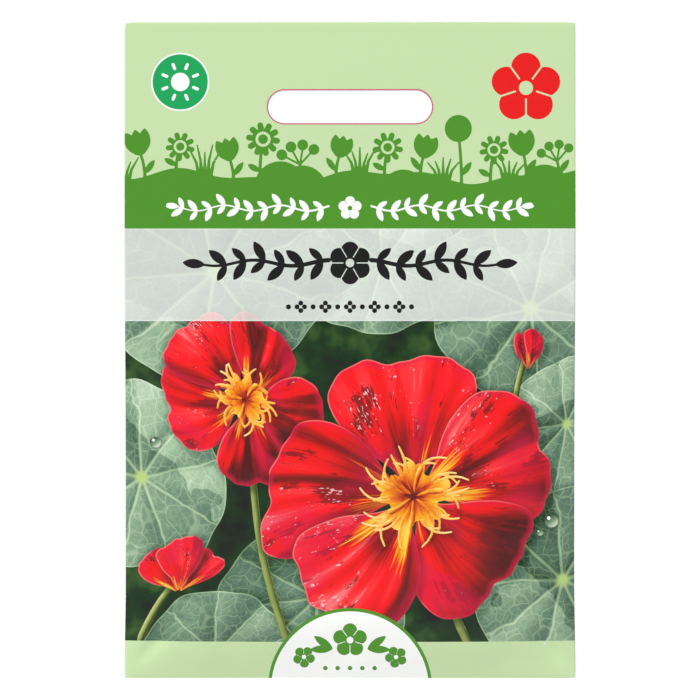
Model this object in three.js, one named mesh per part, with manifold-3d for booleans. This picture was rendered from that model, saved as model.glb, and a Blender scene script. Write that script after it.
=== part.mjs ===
// A printed paper seed packet with a die-cut hang slot. It holds a four-side-sealed sachet of seeds.
// Millimetres, +Z up. The printed front faces -Y, and the origin is the middle of the slot's upper edge,
// half-way through the header, which is where a display hook carries the packet.
import * as THREE from "three";
import { mergeVertices } from "three/addons/utils/BufferGeometryUtils.js";
import Module from "manifold-3d";

const wasm = await Module();
wasm.setup();

// Driving dimensions.
const packet = { width: 110, height: 160, ply: 0.2, headerHeight: 42 };
const slot = { width: 40, height: 8, belowTop: 16.7, arcSteps: 12 };
const topFlap = { depth: 38, insetAtFold: 0.8, insetAtEdge: 4.5 };
const bottomFlap = { depth: 14, insetAtFold: 4.5, insetAtEdge: 10 };
const lap = { width: 12, ramp: 1.8, cutEdge: 0.01 };
const vent = { from: 50.9, to: 54.4, reach: 1.2 };
const bulge = { half: 4.3, rise: 16, fullTo: 34, sidePower: 3.8, fadePower: 1.6, foldGap: 0.3, sealRamp: 4 };
const sachet = { width: 84, height: 92, aboveFold: 2, seal: 6, film: 0.12, sealGap: 0.3 };
const pocket = { half: 3.25, rise: 5, side: 6, fullTo: 34 };
const seed = { length: 7.6, breadth: 6.7, thickness: 5.8, ridges: 7, ridgeDepth: 0.06, wrinkle: 0.035 };
const pile = { rows: [8, 7, 6], pitch: 7.8, rowRise: 7, firstRow: 14.6, jitter: 0.2, tilt: 0.25 };
const colours = { paper: 0xcae2af, film: 0xd9d9d4, seed: 0xb08d5f };

// Places that follow from them.
const halfWidth = packet.width / 2;
const top = slot.belowTop;
const bottom = top - packet.height;
const sealLine = top - packet.headerHeight;
const cavityHeight = sealLine - bottom;
const midPlane = -packet.ply / 2; // the plane between the front ply and the back ply
const quarterTurn = Math.PI / 2;

const clamp = (value) => Math.min(1, Math.max(0, value));
const smooth = (value) => clamp(value) ** 2 * (3 - 2 * clamp(value));
const range = (count) => Array.from({ length: count }, (_, i) => i);
const steps = (from, to, count) => range(count + 1).map((i) => from + ((to - from) * i) / count);

// The share of its full depth that a bulge keeps, as it fades from one height to another.
function fading(height, from, to) {
  return Math.cos(quarterTurn * clamp((height - from) / (to - from))) ** bulge.fadePower;
}

// Half the space between the packet's two plies: 0 in the glued header, and a fold's own gap at the sides.
function halfSpace(x, z) {
  const height = z - bottom;
  const rise = Math.sin(quarterTurn * clamp(height / bulge.rise));
  const side = 1 - clamp(Math.abs(x) / halfWidth) ** bulge.sidePower;
  const foldHalf = bulge.foldGap / 2;
  const edge = foldHalf * clamp((sealLine - z) / bulge.sealRamp);
  return edge + (bulge.half - foldHalf) * rise * fading(height, bulge.fullTo, cavityHeight) * side;
}

// Half the space inside the sachet, which is only the sealed films' gap along its four seals.
function halfPocket(x, z) {
  const height = z - bottom;
  const rise = smooth((height - sachet.aboveFold - sachet.seal) / pocket.rise);
  const side = smooth((sachet.width / 2 - sachet.seal - Math.abs(x)) / pocket.side);
  const fade = fading(height, pocket.fullTo, sachet.aboveFold + sachet.height - sachet.seal);
  return sachet.sealGap / 2 + (pocket.half - sachet.sealGap / 2) * rise * side * fade;
}

// The rise of the outer ply where it laps over the inner one, with a soft ramp at the side away from its edge.
const lapRise = (x) => packet.ply * clamp((lap.width / 2 + lap.ramp - x) / lap.ramp);

// Every plate of the sheet takes its levels from one list, so that plates glued together share their facets.
const riseTop = bottom + bulge.rise;
const sheetLevels = [...steps(bottom, riseTop, 6), ...steps(riseTop, sealLine, 15).slice(1), top];
const levelsBetween = (low, high) => [low, ...sheetLevels.filter((z) => z > low && z < high), high];

// A closed plate between two surfaces. xAt turns a column into its x at each level, so its sides can taper.
function plate({ columns, levels, xAt = (column) => column, front, back }) {
  const across = columns.length;
  const faceSize = across * levels.length;
  const vertices = [];
  for (const surface of [front, back])
    for (const z of levels)
      for (const column of columns) {
        const x = xAt(column, z);
        vertices.push(x, surface(x, z), z);
      }
  const triangles = [];
  const quad = (a, b, c, d) => triangles.push(a, b, c, a, c, d);
  const at = (face, row, column) => face * faceSize + row * across + column;
  const high = levels.length - 1;
  const right = across - 1;
  for (const row of range(high))
    for (const column of range(right)) {
      quad(at(0, row, column), at(0, row, column + 1), at(0, row + 1, column + 1), at(0, row + 1, column));
      quad(at(1, row, column), at(1, row + 1, column), at(1, row + 1, column + 1), at(1, row, column + 1));
    }
  for (const column of range(right)) {
    quad(at(0, 0, column), at(1, 0, column), at(1, 0, column + 1), at(0, 0, column + 1));
    quad(at(0, high, column), at(0, high, column + 1), at(1, high, column + 1), at(1, high, column));
  }
  for (const row of range(high)) {
    quad(at(0, row, 0), at(0, row + 1, 0), at(1, row + 1, 0), at(1, row, 0));
    quad(at(0, row, right), at(1, row, right), at(1, row + 1, right), at(0, row + 1, right));
  }
  return solidFrom(new Float32Array(vertices), new Uint32Array(triangles));
}

function solidFrom(vertProperties, triVerts) {
  return new wasm.Manifold(new wasm.Mesh({ numProp: 3, vertProperties, triVerts }));
}

function solidOfGeometry(geometry) {
  const bare = geometry.clone().deleteAttribute("normal").deleteAttribute("uv");
  const merged = mergeVertices(bare, 1e-4);
  return solidFrom(merged.attributes.position.array, new Uint32Array(merged.index.array));
}

function meshOf(name, solid, material) {
  const { vertProperties, triVerts } = solid.getMesh();
  const shared = new THREE.BufferGeometry();
  shared.setAttribute("position", new THREE.BufferAttribute(vertProperties, 3));
  shared.setIndex(new THREE.BufferAttribute(triVerts, 1));
  const geometry = shared.toNonIndexed();
  geometry.computeVertexNormals();
  const mesh = new THREE.Mesh(geometry, material);
  mesh.name = name;
  return mesh;
}

// The folded blank without its flaps: front and back ply, joined round the sides, the bottom and the header.
function pouch() {
  const columns = steps(-halfWidth, halfWidth, 20);
  const innerShare = (halfWidth - packet.ply) / halfWidth;
  const outer = plate({
    columns,
    levels: levelsBetween(bottom, top),
    front: (x, z) => midPlane - halfSpace(x, z) - packet.ply,
    back: (x, z) => midPlane + halfSpace(x, z) + packet.ply,
  });
  const hollow = plate({
    columns: columns.map((x) => x * innerShare),
    levels: levelsBetween(bottom + packet.ply, sealLine - bulge.sealRamp / 2),
    front: (x, z) => midPlane - halfSpace(x, z),
    back: (x, z) => midPlane + halfSpace(x, z),
  });
  return outer.subtract(hollow);
}

// The strip where one back ply laps over the other, from the bottom fold to the top fold.
function lapSeam() {
  const backPly = (x, z) => midPlane + halfSpace(x, z);
  return plate({
    columns: [-lap.width / 2, 0, lap.width / 2, lap.width / 2 + lap.ramp],
    levels: levelsBetween(bottom, top),
    front: (x, z) => backPly(x, z) + packet.ply / 2,
    back: (x, z) => backPly(x, z) + packet.ply + Math.max(lapRise(x), lap.cutEdge),
  });
}

// A flap folded over onto the back ply and glued there. Its sides taper from the fold to its cut edge.
function flap({ depth, insetAtFold, insetAtEdge }, fold, edge) {
  const backPly = (x, z) => midPlane + halfSpace(x, z);
  const inset = (z) => insetAtFold + ((insetAtEdge - insetAtFold) * Math.abs(z - fold)) / depth;
  const lapHalf = lap.width / 2;
  const seamColumns = [-lapHalf - lap.cutEdge, -lapHalf, lapHalf, lapHalf + lap.ramp];
  // Columns up to 1 are shares of the flap's half width. The seam's own four stay at their x.
  const isShare = (column) => Math.abs(column) <= 1;
  const onLap = (x) => (x < -lapHalf ? 0 : lapRise(x));
  return plate({
    columns: [...steps(-1, -0.2, 8), ...seamColumns, ...steps(0.2, 1, 8)],
    levels: levelsBetween(Math.min(fold, edge), Math.max(fold, edge)),
    xAt: (column, z) => (isShare(column) ? column * (halfWidth - inset(z)) : column),
    front: (x, z) => backPly(x, z) + packet.ply / 2,
    back: (x, z) => backPly(x, z) + 2 * packet.ply + onLap(x),
  });
}

// The hang slot: straight sides and full round ends, punched through every ply of the header.
function slotPunch() {
  const radius = slot.height / 2;
  const reach = slot.width / 2 - radius;
  const outline = new THREE.Shape();
  outline.absarc(reach, -radius, radius, -quarterTurn, quarterTurn, false);
  outline.absarc(-reach, -radius, radius, quarterTurn, 3 * quarterTurn, false);
  const depth = 12 * packet.ply;
  const settings = { depth, bevelEnabled: false, curveSegments: slot.arcSteps };
  const geometry = new THREE.ExtrudeGeometry(outline, settings);
  geometry.rotateX(quarterTurn).translate(0, depth / 2, 0);
  return solidOfGeometry(geometry);
}

// The pinhole that the tapered bottom flap leaves open at each lower corner.
function cornerVent(side) {
  const geometry = new THREE.BoxGeometry(vent.to - vent.from, bulge.foldGap, 2 * vent.reach);
  geometry.translate((side * (vent.from + vent.to)) / 2, midPlane, bottom);
  return solidOfGeometry(geometry);
}

function packetSheet() {
  return pouch()
    .add(lapSeam())
    .add(flap(topFlap, top, top - topFlap.depth))
    .add(flap(bottomFlap, bottom, bottom + bottomFlap.depth))
    .subtract(slotPunch())
    .subtract(cornerVent(-1))
    .subtract(cornerVent(1));
}

// One of the sachet's two films. side is -1 for the front film and 1 for the back film.
function sachetFilm(side) {
  const low = bottom + sachet.aboveFold;
  const high = low + sachet.height;
  const pocketEdge = sachet.width / 2 - sachet.seal;
  const rising = steps(low + sachet.seal, low + sachet.seal + pocket.rise, 2);
  const falling = steps(bottom + pocket.fullTo, high - sachet.seal, 9);
  const inner = (x, z) => midPlane + side * halfPocket(x, z);
  const outer = (x, z) => inner(x, z) + side * sachet.film;
  return plate({
    columns: [-sachet.width / 2, ...steps(-pocketEdge, pocketEdge, 14), sachet.width / 2],
    levels: [low, ...rising, ...falling, high],
    front: side < 0 ? outer : inner,
    back: side < 0 ? inner : outer,
  });
}

// A wrinkled, corky seed: an ellipsoid whose surface follows meridian ridges and finer cross wrinkles.
function seedGeometry(phase) {
  const geometry = new THREE.SphereGeometry(1, 14, 9);
  const position = geometry.getAttribute("position");
  const point = new THREE.Vector3();
  for (const i of range(position.count)) {
    point.fromBufferAttribute(position, i);
    const round = Math.hypot(point.x, point.z);
    const turn = Math.atan2(point.z, point.x);
    const ridge = seed.ridgeDepth * round * Math.cos(seed.ridges * turn + phase);
    const wrinkle = seed.wrinkle * round * Math.sin(5 * point.y + 3 * turn + phase);
    point.multiplyScalar(1 - seed.ridgeDepth - seed.wrinkle + ridge + wrinkle);
    position.setXYZ(i, point.x, point.y, point.z);
  }
  geometry.scale(seed.breadth / 2, seed.length / 2, seed.thickness / 2);
  return geometry;
}

// A small seeded generator, so that the pile is the same every time.
function seededRandom(state) {
  return () => {
    state = (state + 0x6d2b79f5) | 0;
    let mixed = Math.imul(state ^ (state >>> 15), 1 | state);
    mixed = (mixed + Math.imul(mixed ^ (mixed >>> 7), 61 | mixed)) ^ mixed;
    return ((mixed ^ (mixed >>> 14)) >>> 0) / 2 ** 32;
  };
}

// Seeds lie one layer deep in staggered rows, at the bottom of the hanging sachet.
function seedMeshes(material) {
  const random = seededRandom(11);
  const around = (spread) => (2 * random() - 1) * spread;
  const places = pile.rows.flatMap((count, row) =>
    range(count).map((i) => ({
      x: (i - (count - 1) / 2) * pile.pitch,
      z: bottom + pile.firstRow + row * pile.rowRise,
    })),
  );
  return places.map((place, i) => {
    const mesh = new THREE.Mesh(seedGeometry(around(Math.PI)), material);
    mesh.name = `seed_${String(i + 1).padStart(2, "0")}`;
    mesh.position.set(place.x + around(pile.jitter), midPlane, place.z + around(pile.jitter));
    // The seed's thin way stays near Y: it is laid down first, tipped a little, then turned in the layer.
    mesh.rotation.set(quarterTurn + around(pile.tilt), around(Math.PI), around(pile.tilt), "YXZ");
    return mesh;
  });
}

const paper = new THREE.MeshStandardMaterial({ color: colours.paper, roughness: 0.45, metalness: 0 });
const film = new THREE.MeshStandardMaterial({ color: colours.film, roughness: 0.35, metalness: 0.4 });
const husk = new THREE.MeshStandardMaterial({ color: colours.seed, roughness: 0.85, metalness: 0 });

const seedPacket = new THREE.Group();
seedPacket.add(
  meshOf("packet_sheet", packetSheet(), paper),
  meshOf("sachet_front_film", sachetFilm(-1), film),
  meshOf("sachet_back_film", sachetFilm(1), film),
  ...seedMeshes(husk),
);

export default seedPacket;
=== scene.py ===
"""A printed paper seed packet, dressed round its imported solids: the folded plies of its sheet with their
print, the sealed sachet inside, and the seeds. Lengths are in millimetres until a mesh is made. x runs to
the right of the printed front, and up is measured from the bottom fold."""

import bmesh
import bpy
import numpy as np
from mathutils import Matrix, Vector, geometry


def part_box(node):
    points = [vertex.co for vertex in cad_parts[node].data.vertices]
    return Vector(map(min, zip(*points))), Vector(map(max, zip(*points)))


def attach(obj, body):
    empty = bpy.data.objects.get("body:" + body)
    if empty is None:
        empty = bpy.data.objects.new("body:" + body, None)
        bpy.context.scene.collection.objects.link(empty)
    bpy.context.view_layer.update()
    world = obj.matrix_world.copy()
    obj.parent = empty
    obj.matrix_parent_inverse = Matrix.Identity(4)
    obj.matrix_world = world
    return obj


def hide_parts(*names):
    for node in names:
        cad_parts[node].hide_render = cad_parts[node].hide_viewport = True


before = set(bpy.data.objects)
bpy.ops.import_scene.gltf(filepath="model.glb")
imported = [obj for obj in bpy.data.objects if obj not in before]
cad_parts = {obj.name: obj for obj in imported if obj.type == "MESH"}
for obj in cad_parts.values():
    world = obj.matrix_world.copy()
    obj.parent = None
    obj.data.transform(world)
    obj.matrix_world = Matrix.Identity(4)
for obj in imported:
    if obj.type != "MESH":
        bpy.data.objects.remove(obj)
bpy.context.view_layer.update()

MM = 0.001
TURN = 2 * np.pi

# The packet, as its solids have it.
sheet_low, sheet_high = (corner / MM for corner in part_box("packet_sheet"))
HALF_WIDTH = sheet_high.x
HEIGHT = sheet_high.z - sheet_low.z
BOTTOM = sheet_low.z
# The solids' plies, and the paper that is laid over them.
PLY, PAPER_THICKNESS = 0.2, 0.17
MID_PLANE = -PLY / 2
# The header is flat, as its plies are glued together down to the seal.
HEADER_HEIGHT = 42
SEAL = HEIGHT - HEADER_HEIGHT
SLOT_WIDTH, SLOT_HEIGHT, SLOT_BELOW_TOP = 40, 8, 16.7
SLOT_MIDDLE = HEIGHT - SLOT_BELOW_TOP - SLOT_HEIGHT / 2
TOP_FLAP = {"depth": 38, "inset_at_fold": 0.8, "inset_at_edge": 4.5}
BOTTOM_FLAP = {"depth": 14, "inset_at_fold": 4.5, "inset_at_edge": 10}
FLAP_CORNER = 3
# The two back plies lap over the packet's middle.
LAP_HALF, LAP_RAMP = 6, 1.8
# The space for the seeds: half its depth, the heights up to which it grows and stays full, and the powers
# that shape it towards the sides and the header. Along the side folds a small gap is left, up to the seal.
BULGE = {"half": 4.3, "rise": 16, "full_to": 34, "side_power": 3.8, "fade_power": 1.6}
FOLD_GAP, SEAL_RAMP = 0.3, 4

# The round of a fold, and the rows of places close to it that follow that round.
FOLD_RADIUS = 0.4
FOLD_ROWS = (0.04, 0.12, 0.24, 0.4)
FRONT_STEP, BACK_STEP, INSIDE_STEP = 0.5, 0.62, 2.4
# A triangle whose middle is no further than this inside an outline is dropped.
SLIVER = 0.001
SHARP_EDGE = np.radians(50)


def clamp(t):
    return np.clip(t, 0.0, 1.0)


def smooth(t):
    return clamp(t) ** 2 * (3 - 2 * clamp(t))


def waves(seed, length, count=9):
    """Smooth, repeatable unevenness from about -1 to 1: plane waves of about one length, all ways."""
    draw = np.random.default_rng(seed)
    turn = draw.uniform(0, TURN, count)
    phase = draw.uniform(0, TURN, count)
    rate = TURN / (length * draw.uniform(0.7, 1.5, count))

    def at(x, up):
        total = np.zeros(np.broadcast(x, up).shape)
        for t, p, r in zip(turn, phase, rate):
            total += np.sin(r * (x * np.cos(t) + up * np.sin(t)) + p)
        return total / np.sqrt(count)

    return at


def add_object(name, data):
    made = bpy.data.objects.new(name, data)
    bpy.context.scene.collection.objects.link(made)
    return made


def dress(piece, node):
    """Every piece rides on the one body, and stands in place of a solid."""
    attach(piece, "root")
    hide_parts(node)


# ---------------------------------------------------------------- flat shapes

# A flat shape is a function of place that gives how far inside it a point lies, below 0 outside it.


def disc(x0, up0, radius):
    return lambda x, up: radius - np.hypot(x - x0, up - up0)


def stadium(x0, up0, width, height):
    reach = (width - height) / 2
    return lambda x, up: height / 2 - np.hypot(np.maximum(np.abs(x - x0) - reach, 0), up - up0)


def polygon(points):
    """Any closed outline, its points given anticlockwise."""
    starts = np.array(points, float)
    ends = np.roll(starts, -1, axis=0)

    def inside(x, up):
        nearest = np.full(np.shape(x), np.inf)
        wound = np.zeros(np.shape(x), bool)
        for (x0, up0), (x1, up1) in zip(starts, ends):
            dx, du = x1 - x0, up1 - up0
            t = clamp(((x - x0) * dx + (up - up0) * du) / (dx * dx + du * du))
            nearest = np.minimum(nearest, np.hypot(x - x0 - t * dx, up - up0 - t * du))
            if du:
                spans = (up0 > up) != (up1 > up)
                wound ^= spans & (x < x0 + (up - up0) * dx / du)
        return np.where(wound, nearest, -nearest)

    return inside


slot_hole = stadium(0, SLOT_MIDDLE, SLOT_WIDTH, SLOT_HEIGHT)


# ---------------------------------------------------------------- how the paper lies


def thin_out(up, full_to, end):
    """The share of its full thickness that the packet or its sachet keeps towards its upper end."""
    return np.cos(np.pi / 2 * clamp((up - full_to) / (end - full_to))) ** BULGE["fade_power"]


def bulge(x, up):
    """Half the space between the front ply and the back ply."""
    rise = np.sin(np.pi / 2 * clamp(up / BULGE["rise"]))
    side = 1 - clamp(np.abs(x) / HALF_WIDTH) ** BULGE["side_power"]
    edge = FOLD_GAP / 2 * clamp((SEAL - up) / SEAL_RAMP)
    return edge + (BULGE["half"] - FOLD_GAP / 2) * rise * side * thin_out(up, BULGE["full_to"], SEAL)


# Where the seeds lie.
seed_places = [
    [sum(corner[axis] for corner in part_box(name)) / 2 / MM - (BOTTOM if axis == 2 else 0) for axis in (0, 2)]
    for name in sorted(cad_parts)
    if name.startswith("seed_")
]
slow_bow, slow_cockle = waves(3, 120), waves(4, 46)
front_cockle, back_cockle = waves(8, 17), waves(9, 19)
SEED_BUMP, SEED_BUMP_WIDTH = 0.3, 2.9
COCKLE = 0.12
CREASE_WIDTH = 2.6


def valley(start, end, width, depth):
    """A soft crease between two places, which dies out at both ends."""
    (x0, up0), (x1, up1) = start, end
    length = np.hypot(x1 - x0, up1 - up0)
    along_x, along_up = (x1 - x0) / length, (up1 - up0) / length

    def at(x, up):
        along = ((x - x0) * along_x + (up - up0) * along_up) / length
        off = (x - x0) * along_up - (up - up0) * along_x
        ends = smooth(along / 0.35) * smooth((1 - along) / 0.5)
        return -depth * np.exp(-((off / (width * (0.5 + 0.8 * clamp(along)))) ** 2)) * ends

    return at


def creases(seed):
    """The packet's own small faults: a crease from each lower corner, and short ones in from its sides."""
    draw = np.random.default_rng(seed)
    found = []
    for side in (-1, 1):
        corner = (side * (HALF_WIDTH - 1), 1.5)
        inward = (side * draw.uniform(27, 33), draw.uniform(22, 29))
        found.append(valley(corner, inward, CREASE_WIDTH, 0.75))
        for up0 in np.arange(20, 98, 13) + draw.uniform(-4, 4, 6):
            start = (side * (HALF_WIDTH - 0.3), up0)
            end = (side * (HALF_WIDTH - draw.uniform(13, 24)), up0 + draw.uniform(-7, 9))
            found.append(valley(start, end, draw.uniform(1.6, 3.2), draw.uniform(0.16, 0.4)))
    return found


front_creases, back_creases = creases(21), creases(57)


def stand_off(x, up, faults, cockle):
    """How far a ply's inner face stands from the packet's middle plane, with its creases and seed bumps."""
    free = smooth((HALF_WIDTH - np.abs(x)) / 5) * smooth(up / 5) * smooth((SEAL - up) / 12)
    marks = sum(fault(x, up) for fault in faults)
    for seed_x, seed_up in seed_places:
        away = (x - seed_x) ** 2 + (up - seed_up) ** 2
        marks = marks + SEED_BUMP * np.exp(-away / (2 * SEED_BUMP_WIDTH**2))
    space = bulge(x, up)
    return np.maximum(space + free * (marks + COCKLE * cockle(x, up)), 0.35 * space)


def front_stand(x, up):
    return stand_off(x, up, front_creases, front_cockle)


def back_stand(x, up):
    return stand_off(x, up, back_creases, back_cockle)


def bow(x, up):
    """The whole packet's slight bow and cockle, which every ply shares."""
    header = smooth((up - 96) / 50)
    return 0.28 * slow_bow(x, up) + 0.07 * slow_cockle(x, up) + header * 0.9 * (x / HALF_WIDTH) ** 2


def lap_rise(x):
    """The outer back ply's rise over the edge of the inner one."""
    return PLY * smooth((LAP_HALF + LAP_RAMP - x) / LAP_RAMP)


def over_lap(x):
    """A flap's rise where it is glued down over the lap, softened at the lap's cut edge."""
    return lap_rise(x) * smooth((x + LAP_HALF + 0.5) / 0.7)


def fold_round(distance):
    """A fold's quarter round: the share of its full stand-off that a ply has near the fold."""
    return np.sqrt(1 - (1 - clamp(distance / FOLD_RADIUS)) ** 2)


def draw_in(x, up):
    """The side folds come in a little where the packet bulges."""
    return x * (1 - 0.3 / HALF_WIDTH * smooth(up / 24) * smooth((SEAL - up) / 70))


# ---------------------------------------------------------------- plies as meshes


def walk(outline, step):
    """Points along a closed outline, no further apart than a step."""
    points = []
    for start, end in zip(outline, outline[1:] + outline[:1]):
        count = max(1, int(np.ceil(np.hypot(end[0] - start[0], end[1] - start[1]) / step)))
        points += [tuple(np.add(start, np.subtract(end, start) * i / count)) for i in range(count)]
    return points


def slot_end(side, step):
    """One round end of the slot, from its lower to its upper side."""
    radius = SLOT_HEIGHT / 2
    reach = SLOT_WIDTH / 2 - radius
    turns = np.linspace(-np.pi / 2, np.pi / 2, int(np.pi * radius / step))
    return [(side * (reach + radius * np.cos(t)), SLOT_MIDDLE + radius * np.sin(t)) for t in turns]


def slot_outline(step):
    """The slot's edge, clockwise, so that with the outline it bounds paper on its left."""
    return walk(slot_end(-1, step) + slot_end(1, step)[::-1], step)


def window(x, up, zone):
    x0, x1, up0, up1 = zone
    return (x >= x0) & (x <= x1) & (up >= up0) & (up <= up1)


def grid(x0, x1, up0, up1, step):
    x, up = np.meshgrid(np.arange(x0, x1, step), np.arange(up0, up1, step))
    x = x + step / 2 * (np.arange(len(x)) % 2)[:, None]
    return x.ravel(), up.ravel()


def follow(x, up, drawing, zone, step):
    """Places close together along a drawing's outline, in place of those that were near it."""
    here = window(x, up, zone)
    kept = np.ones(len(x), bool)
    kept[here] = np.abs(drawing(x[here], up[here])) > 1.5 * step
    fine_x, fine_up = grid(*zone, step)
    close = np.abs(drawing(fine_x, fine_up)) < 0.85 * step
    return np.append(x[kept], fine_x[close]), np.append(up[kept], fine_up[close])


def fold_rows(fold, shape, step):
    """Rows of places along the inside of a fold."""
    (x0, up0), (x1, up1) = fold
    length = np.hypot(x1 - x0, up1 - up0)
    inward = np.array([-(up1 - up0), x1 - x0]) / length
    count = int(np.ceil(length / step))
    share = np.arange(1, count) / count
    line = np.array([x0, up0]) + share[:, None] * np.array([x1 - x0, up1 - up0])
    rows = []
    for off in FOLD_ROWS:
        places = line + off * inward
        rows += [tuple(p) for p in places[shape(*places.T) > 0.8 * off]]
    return rows


def border_edges(borders):
    """Each border's edges, as pairs of numbers of places that are counted through all the borders."""
    edges = []
    first = 0
    for border in borders:
        loop = list(range(first, first + len(border)))
        edges += zip(loop, loop[1:] + loop[:1])
        first += len(border)
    return edges


def net(borders, shape, step, has_slot, folds, zones=(), drawings=()):
    """Triangles over a panel: places as an array of (x, up), which starts with the borders' points in their
    own order, and faces, anticlockwise seen with up on top. Each zone has its own step, finer or coarser,
    and each drawing has places close together along its outline."""
    low, high = np.min(borders[0], axis=0), np.max(borders[0], axis=0)
    x, up = grid(low[0], high[0], low[1], high[1], step)
    for zone, zone_step in zones:
        zone_x, zone_up = grid(*zone, zone_step)
        away = ~window(x, up, np.add(zone, np.array([-0.3, 0.3, -0.3, 0.3]) * zone_step))
        x, up = np.append(x[away], zone_x), np.append(up[away], zone_up)
    for drawing, zone, fine_step in drawings:
        x, up = follow(x, up, drawing, zone, fine_step)
    clear = shape(x, up) > max(0.45 * step, FOLD_ROWS[-1] + 0.2 * step if folds else 0)
    if has_slot:
        clear &= slot_hole(x, up) < -0.45 * step
    points = [p for border in borders for p in border] + list(zip(x[clear], up[clear]))
    for fold in folds:
        points += fold_rows(fold, shape, step)
    edges = border_edges(borders)
    flat = geometry.delaunay_2d_cdt([Vector(p) for p in points], edges, [], 0, 1e-4, False)
    places = np.array([v[:] for v in flat[0]])
    faces = np.array(flat[2])
    middle_x, middle_up = places[faces].mean(axis=1).T
    kept = shape(middle_x, middle_up) > SLIVER
    if has_slot:
        kept &= slot_hole(middle_x, middle_up) < -SLIVER
    return places, faces[kept]


# A ply's three kinds of face, each with its own material.
PRINTED, CUT_EDGE, INSIDE = range(3)
PAPER = {"node": "packet_sheet", "slot": "printed_paper", "thickness": PAPER_THICKNESS}


def lay_ply(
    name, outline, surface, facing, step, folds=(), has_slot=False, zones=(), drawings=(), stock=PAPER
):
    """One ply of a sheet as a closed thin body. facing is -1 for the front and 1 for the back. surface gives
    how far the ply's outer face stands from the middle plane. Returns the object, and its outer face's
    places."""
    shape = polygon(outline)
    thickness = stock["thickness"]
    borders = [walk(outline, step)] + ([slot_outline(step)] if has_slot else [])
    outer, outer_faces = net(borders, shape, step, has_slot, folds, zones, drawings)
    inner, inner_faces = net(borders, shape, INSIDE_STEP, has_slot, ())

    def place(points, depth, inset):
        x, up = points[:, 0], points[:, 1]
        stand = np.maximum(surface(x, up) - depth, 0)
        x = draw_in(x * (1 - inset / HALF_WIDTH), up)
        up_in = HEIGHT / 2 + (up - HEIGHT / 2) * (1 - 2 * inset / HEIGHT)
        return np.stack([x, MID_PLANE + facing * stand + bow(x, up), up_in + BOTTOM], axis=1)

    vertices = np.concatenate([place(outer, 0, 0), place(inner, thickness, thickness)])
    shift = len(outer)
    rims = [(a, shift + a, shift + b, b) for a, b in border_edges(borders)]
    faces = [tuple(f) for f in outer_faces] + [tuple(f[::-1]) for f in inner_faces + shift] + rims
    if facing > 0:
        faces = [f[::-1] for f in faces]
    mesh = bpy.data.meshes.new(name)
    mesh.from_pydata((vertices * MM).tolist(), [], faces)
    kinds = np.repeat([PRINTED, INSIDE, CUT_EDGE], [len(outer_faces), len(inner_faces), len(rims)])
    mesh.polygons.foreach_set("material_index", kinds.astype(np.int32))
    mesh.polygons.foreach_set("use_smooth", np.ones(len(faces), bool))
    mesh.set_sharp_from_angle(angle=SHARP_EDGE)
    lay_out_map(mesh, outer, inner, kinds)
    ply = add_object(name, mesh)
    dress(ply, stock["node"])
    return ply, outer


# Shares of the map's width.
MAP = {"margin": 0.01, "face": 0.98, "bleed": 0.99, "gap": 0.015, "end": 0.97}
MAP |= {"inside": 0.27, "edge_up": 0.5, "edge": 0.012}


def lay_out_map(mesh, outer, inner, kinds):
    """The map that the finish is baked on: the printed face large at the left, the inside small beside it,
    and the cut edges as narrow strips above the inside."""
    low, (width, height) = outer.min(axis=0), np.ptp(outer, axis=0)
    size = max(width, height)
    face_width = width / size * MAP["face"]
    places = np.concatenate([(outer - low) / size, (inner - low) / size])
    corners = np.zeros(len(mesh.loops), np.int32)
    mesh.loops.foreach_get("vertex_index", corners)
    counts = np.zeros(len(mesh.polygons), np.int32)
    mesh.polygons.foreach_get("loop_total", counts)
    kind = np.repeat(kinds, counts)[:, None]
    at = places[corners]
    face = MAP["margin"] + at * MAP["face"] * MAP["bleed"]
    aside = np.array([face_width + MAP["gap"], MAP["margin"]])
    inside = aside + at * min(MAP["inside"], (MAP["end"] - face_width) / width * size)
    is_outer = (corners < len(outer))[:, None]
    width_of_edge = np.where(is_outer, MAP["edge"], 0) * np.array([0.5, 1])
    edge = inside + np.array([0, MAP["edge_up"]]) + width_of_edge
    uv = np.where(kind == PRINTED, face, np.where(kind == CUT_EDGE, edge, inside))
    mesh.uv_layers.new(name="OFBake").uv.foreach_set("vector", uv.astype(np.float32).ravel())


def flap_outline(flap, fold_up, towards):
    """A flap tapers from its fold to its cut edge, whose corners are round. Given anticlockwise."""
    half_fold = HALF_WIDTH - flap["inset_at_fold"]
    half_edge = HALF_WIDTH - flap["inset_at_edge"]
    edge_up = fold_up + towards * flap["depth"]
    turns = np.linspace(0, np.pi / 2, 8)
    corner = [
        (
            half_edge - FLAP_CORNER * (1 - np.cos(t)),
            edge_up - towards * FLAP_CORNER * (1 - np.sin(t)),
        )
        for t in turns
    ]
    right = [(half_fold, fold_up)] + corner
    points = right + [(-x, up) for x, up in right[::-1]]
    return points if towards > 0 else points[::-1]


def to_sides(x, up):
    return HALF_WIDTH - np.abs(x)


def to_top(x, up):
    return HEIGHT - up


def to_bottom(x, up):
    return up


# The back plies stop this far short of the bottom and the top fold.
TUCK = 0.35
FRONT_OUTLINE = [(-HALF_WIDTH, 0), (HALF_WIDTH, 0), (HALF_WIDTH, HEIGHT), (-HALF_WIDTH, HEIGHT)]
FRONT_FOLDS = list(zip(FRONT_OUTLINE, FRONT_OUTLINE[1:] + FRONT_OUTLINE[:1]))


def to_front_folds(x, up):
    return np.minimum(np.minimum(to_sides(x, up), up), to_top(x, up))


def front_surface(x, up):
    return (front_stand(x, up) + PLY) * fold_round(to_front_folds(x, up))


def worn(to_fold):
    """How far a place is from where the folds, and above all the corners, have lost their ink."""

    def at(x, up):
        to_corner = np.hypot(to_sides(x, up), np.minimum(np.abs(up), np.abs(HEIGHT - up)))
        return to_fold(x, up) - 0.3 * np.exp(-((to_corner / 1.7) ** 2))

    return at


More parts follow.
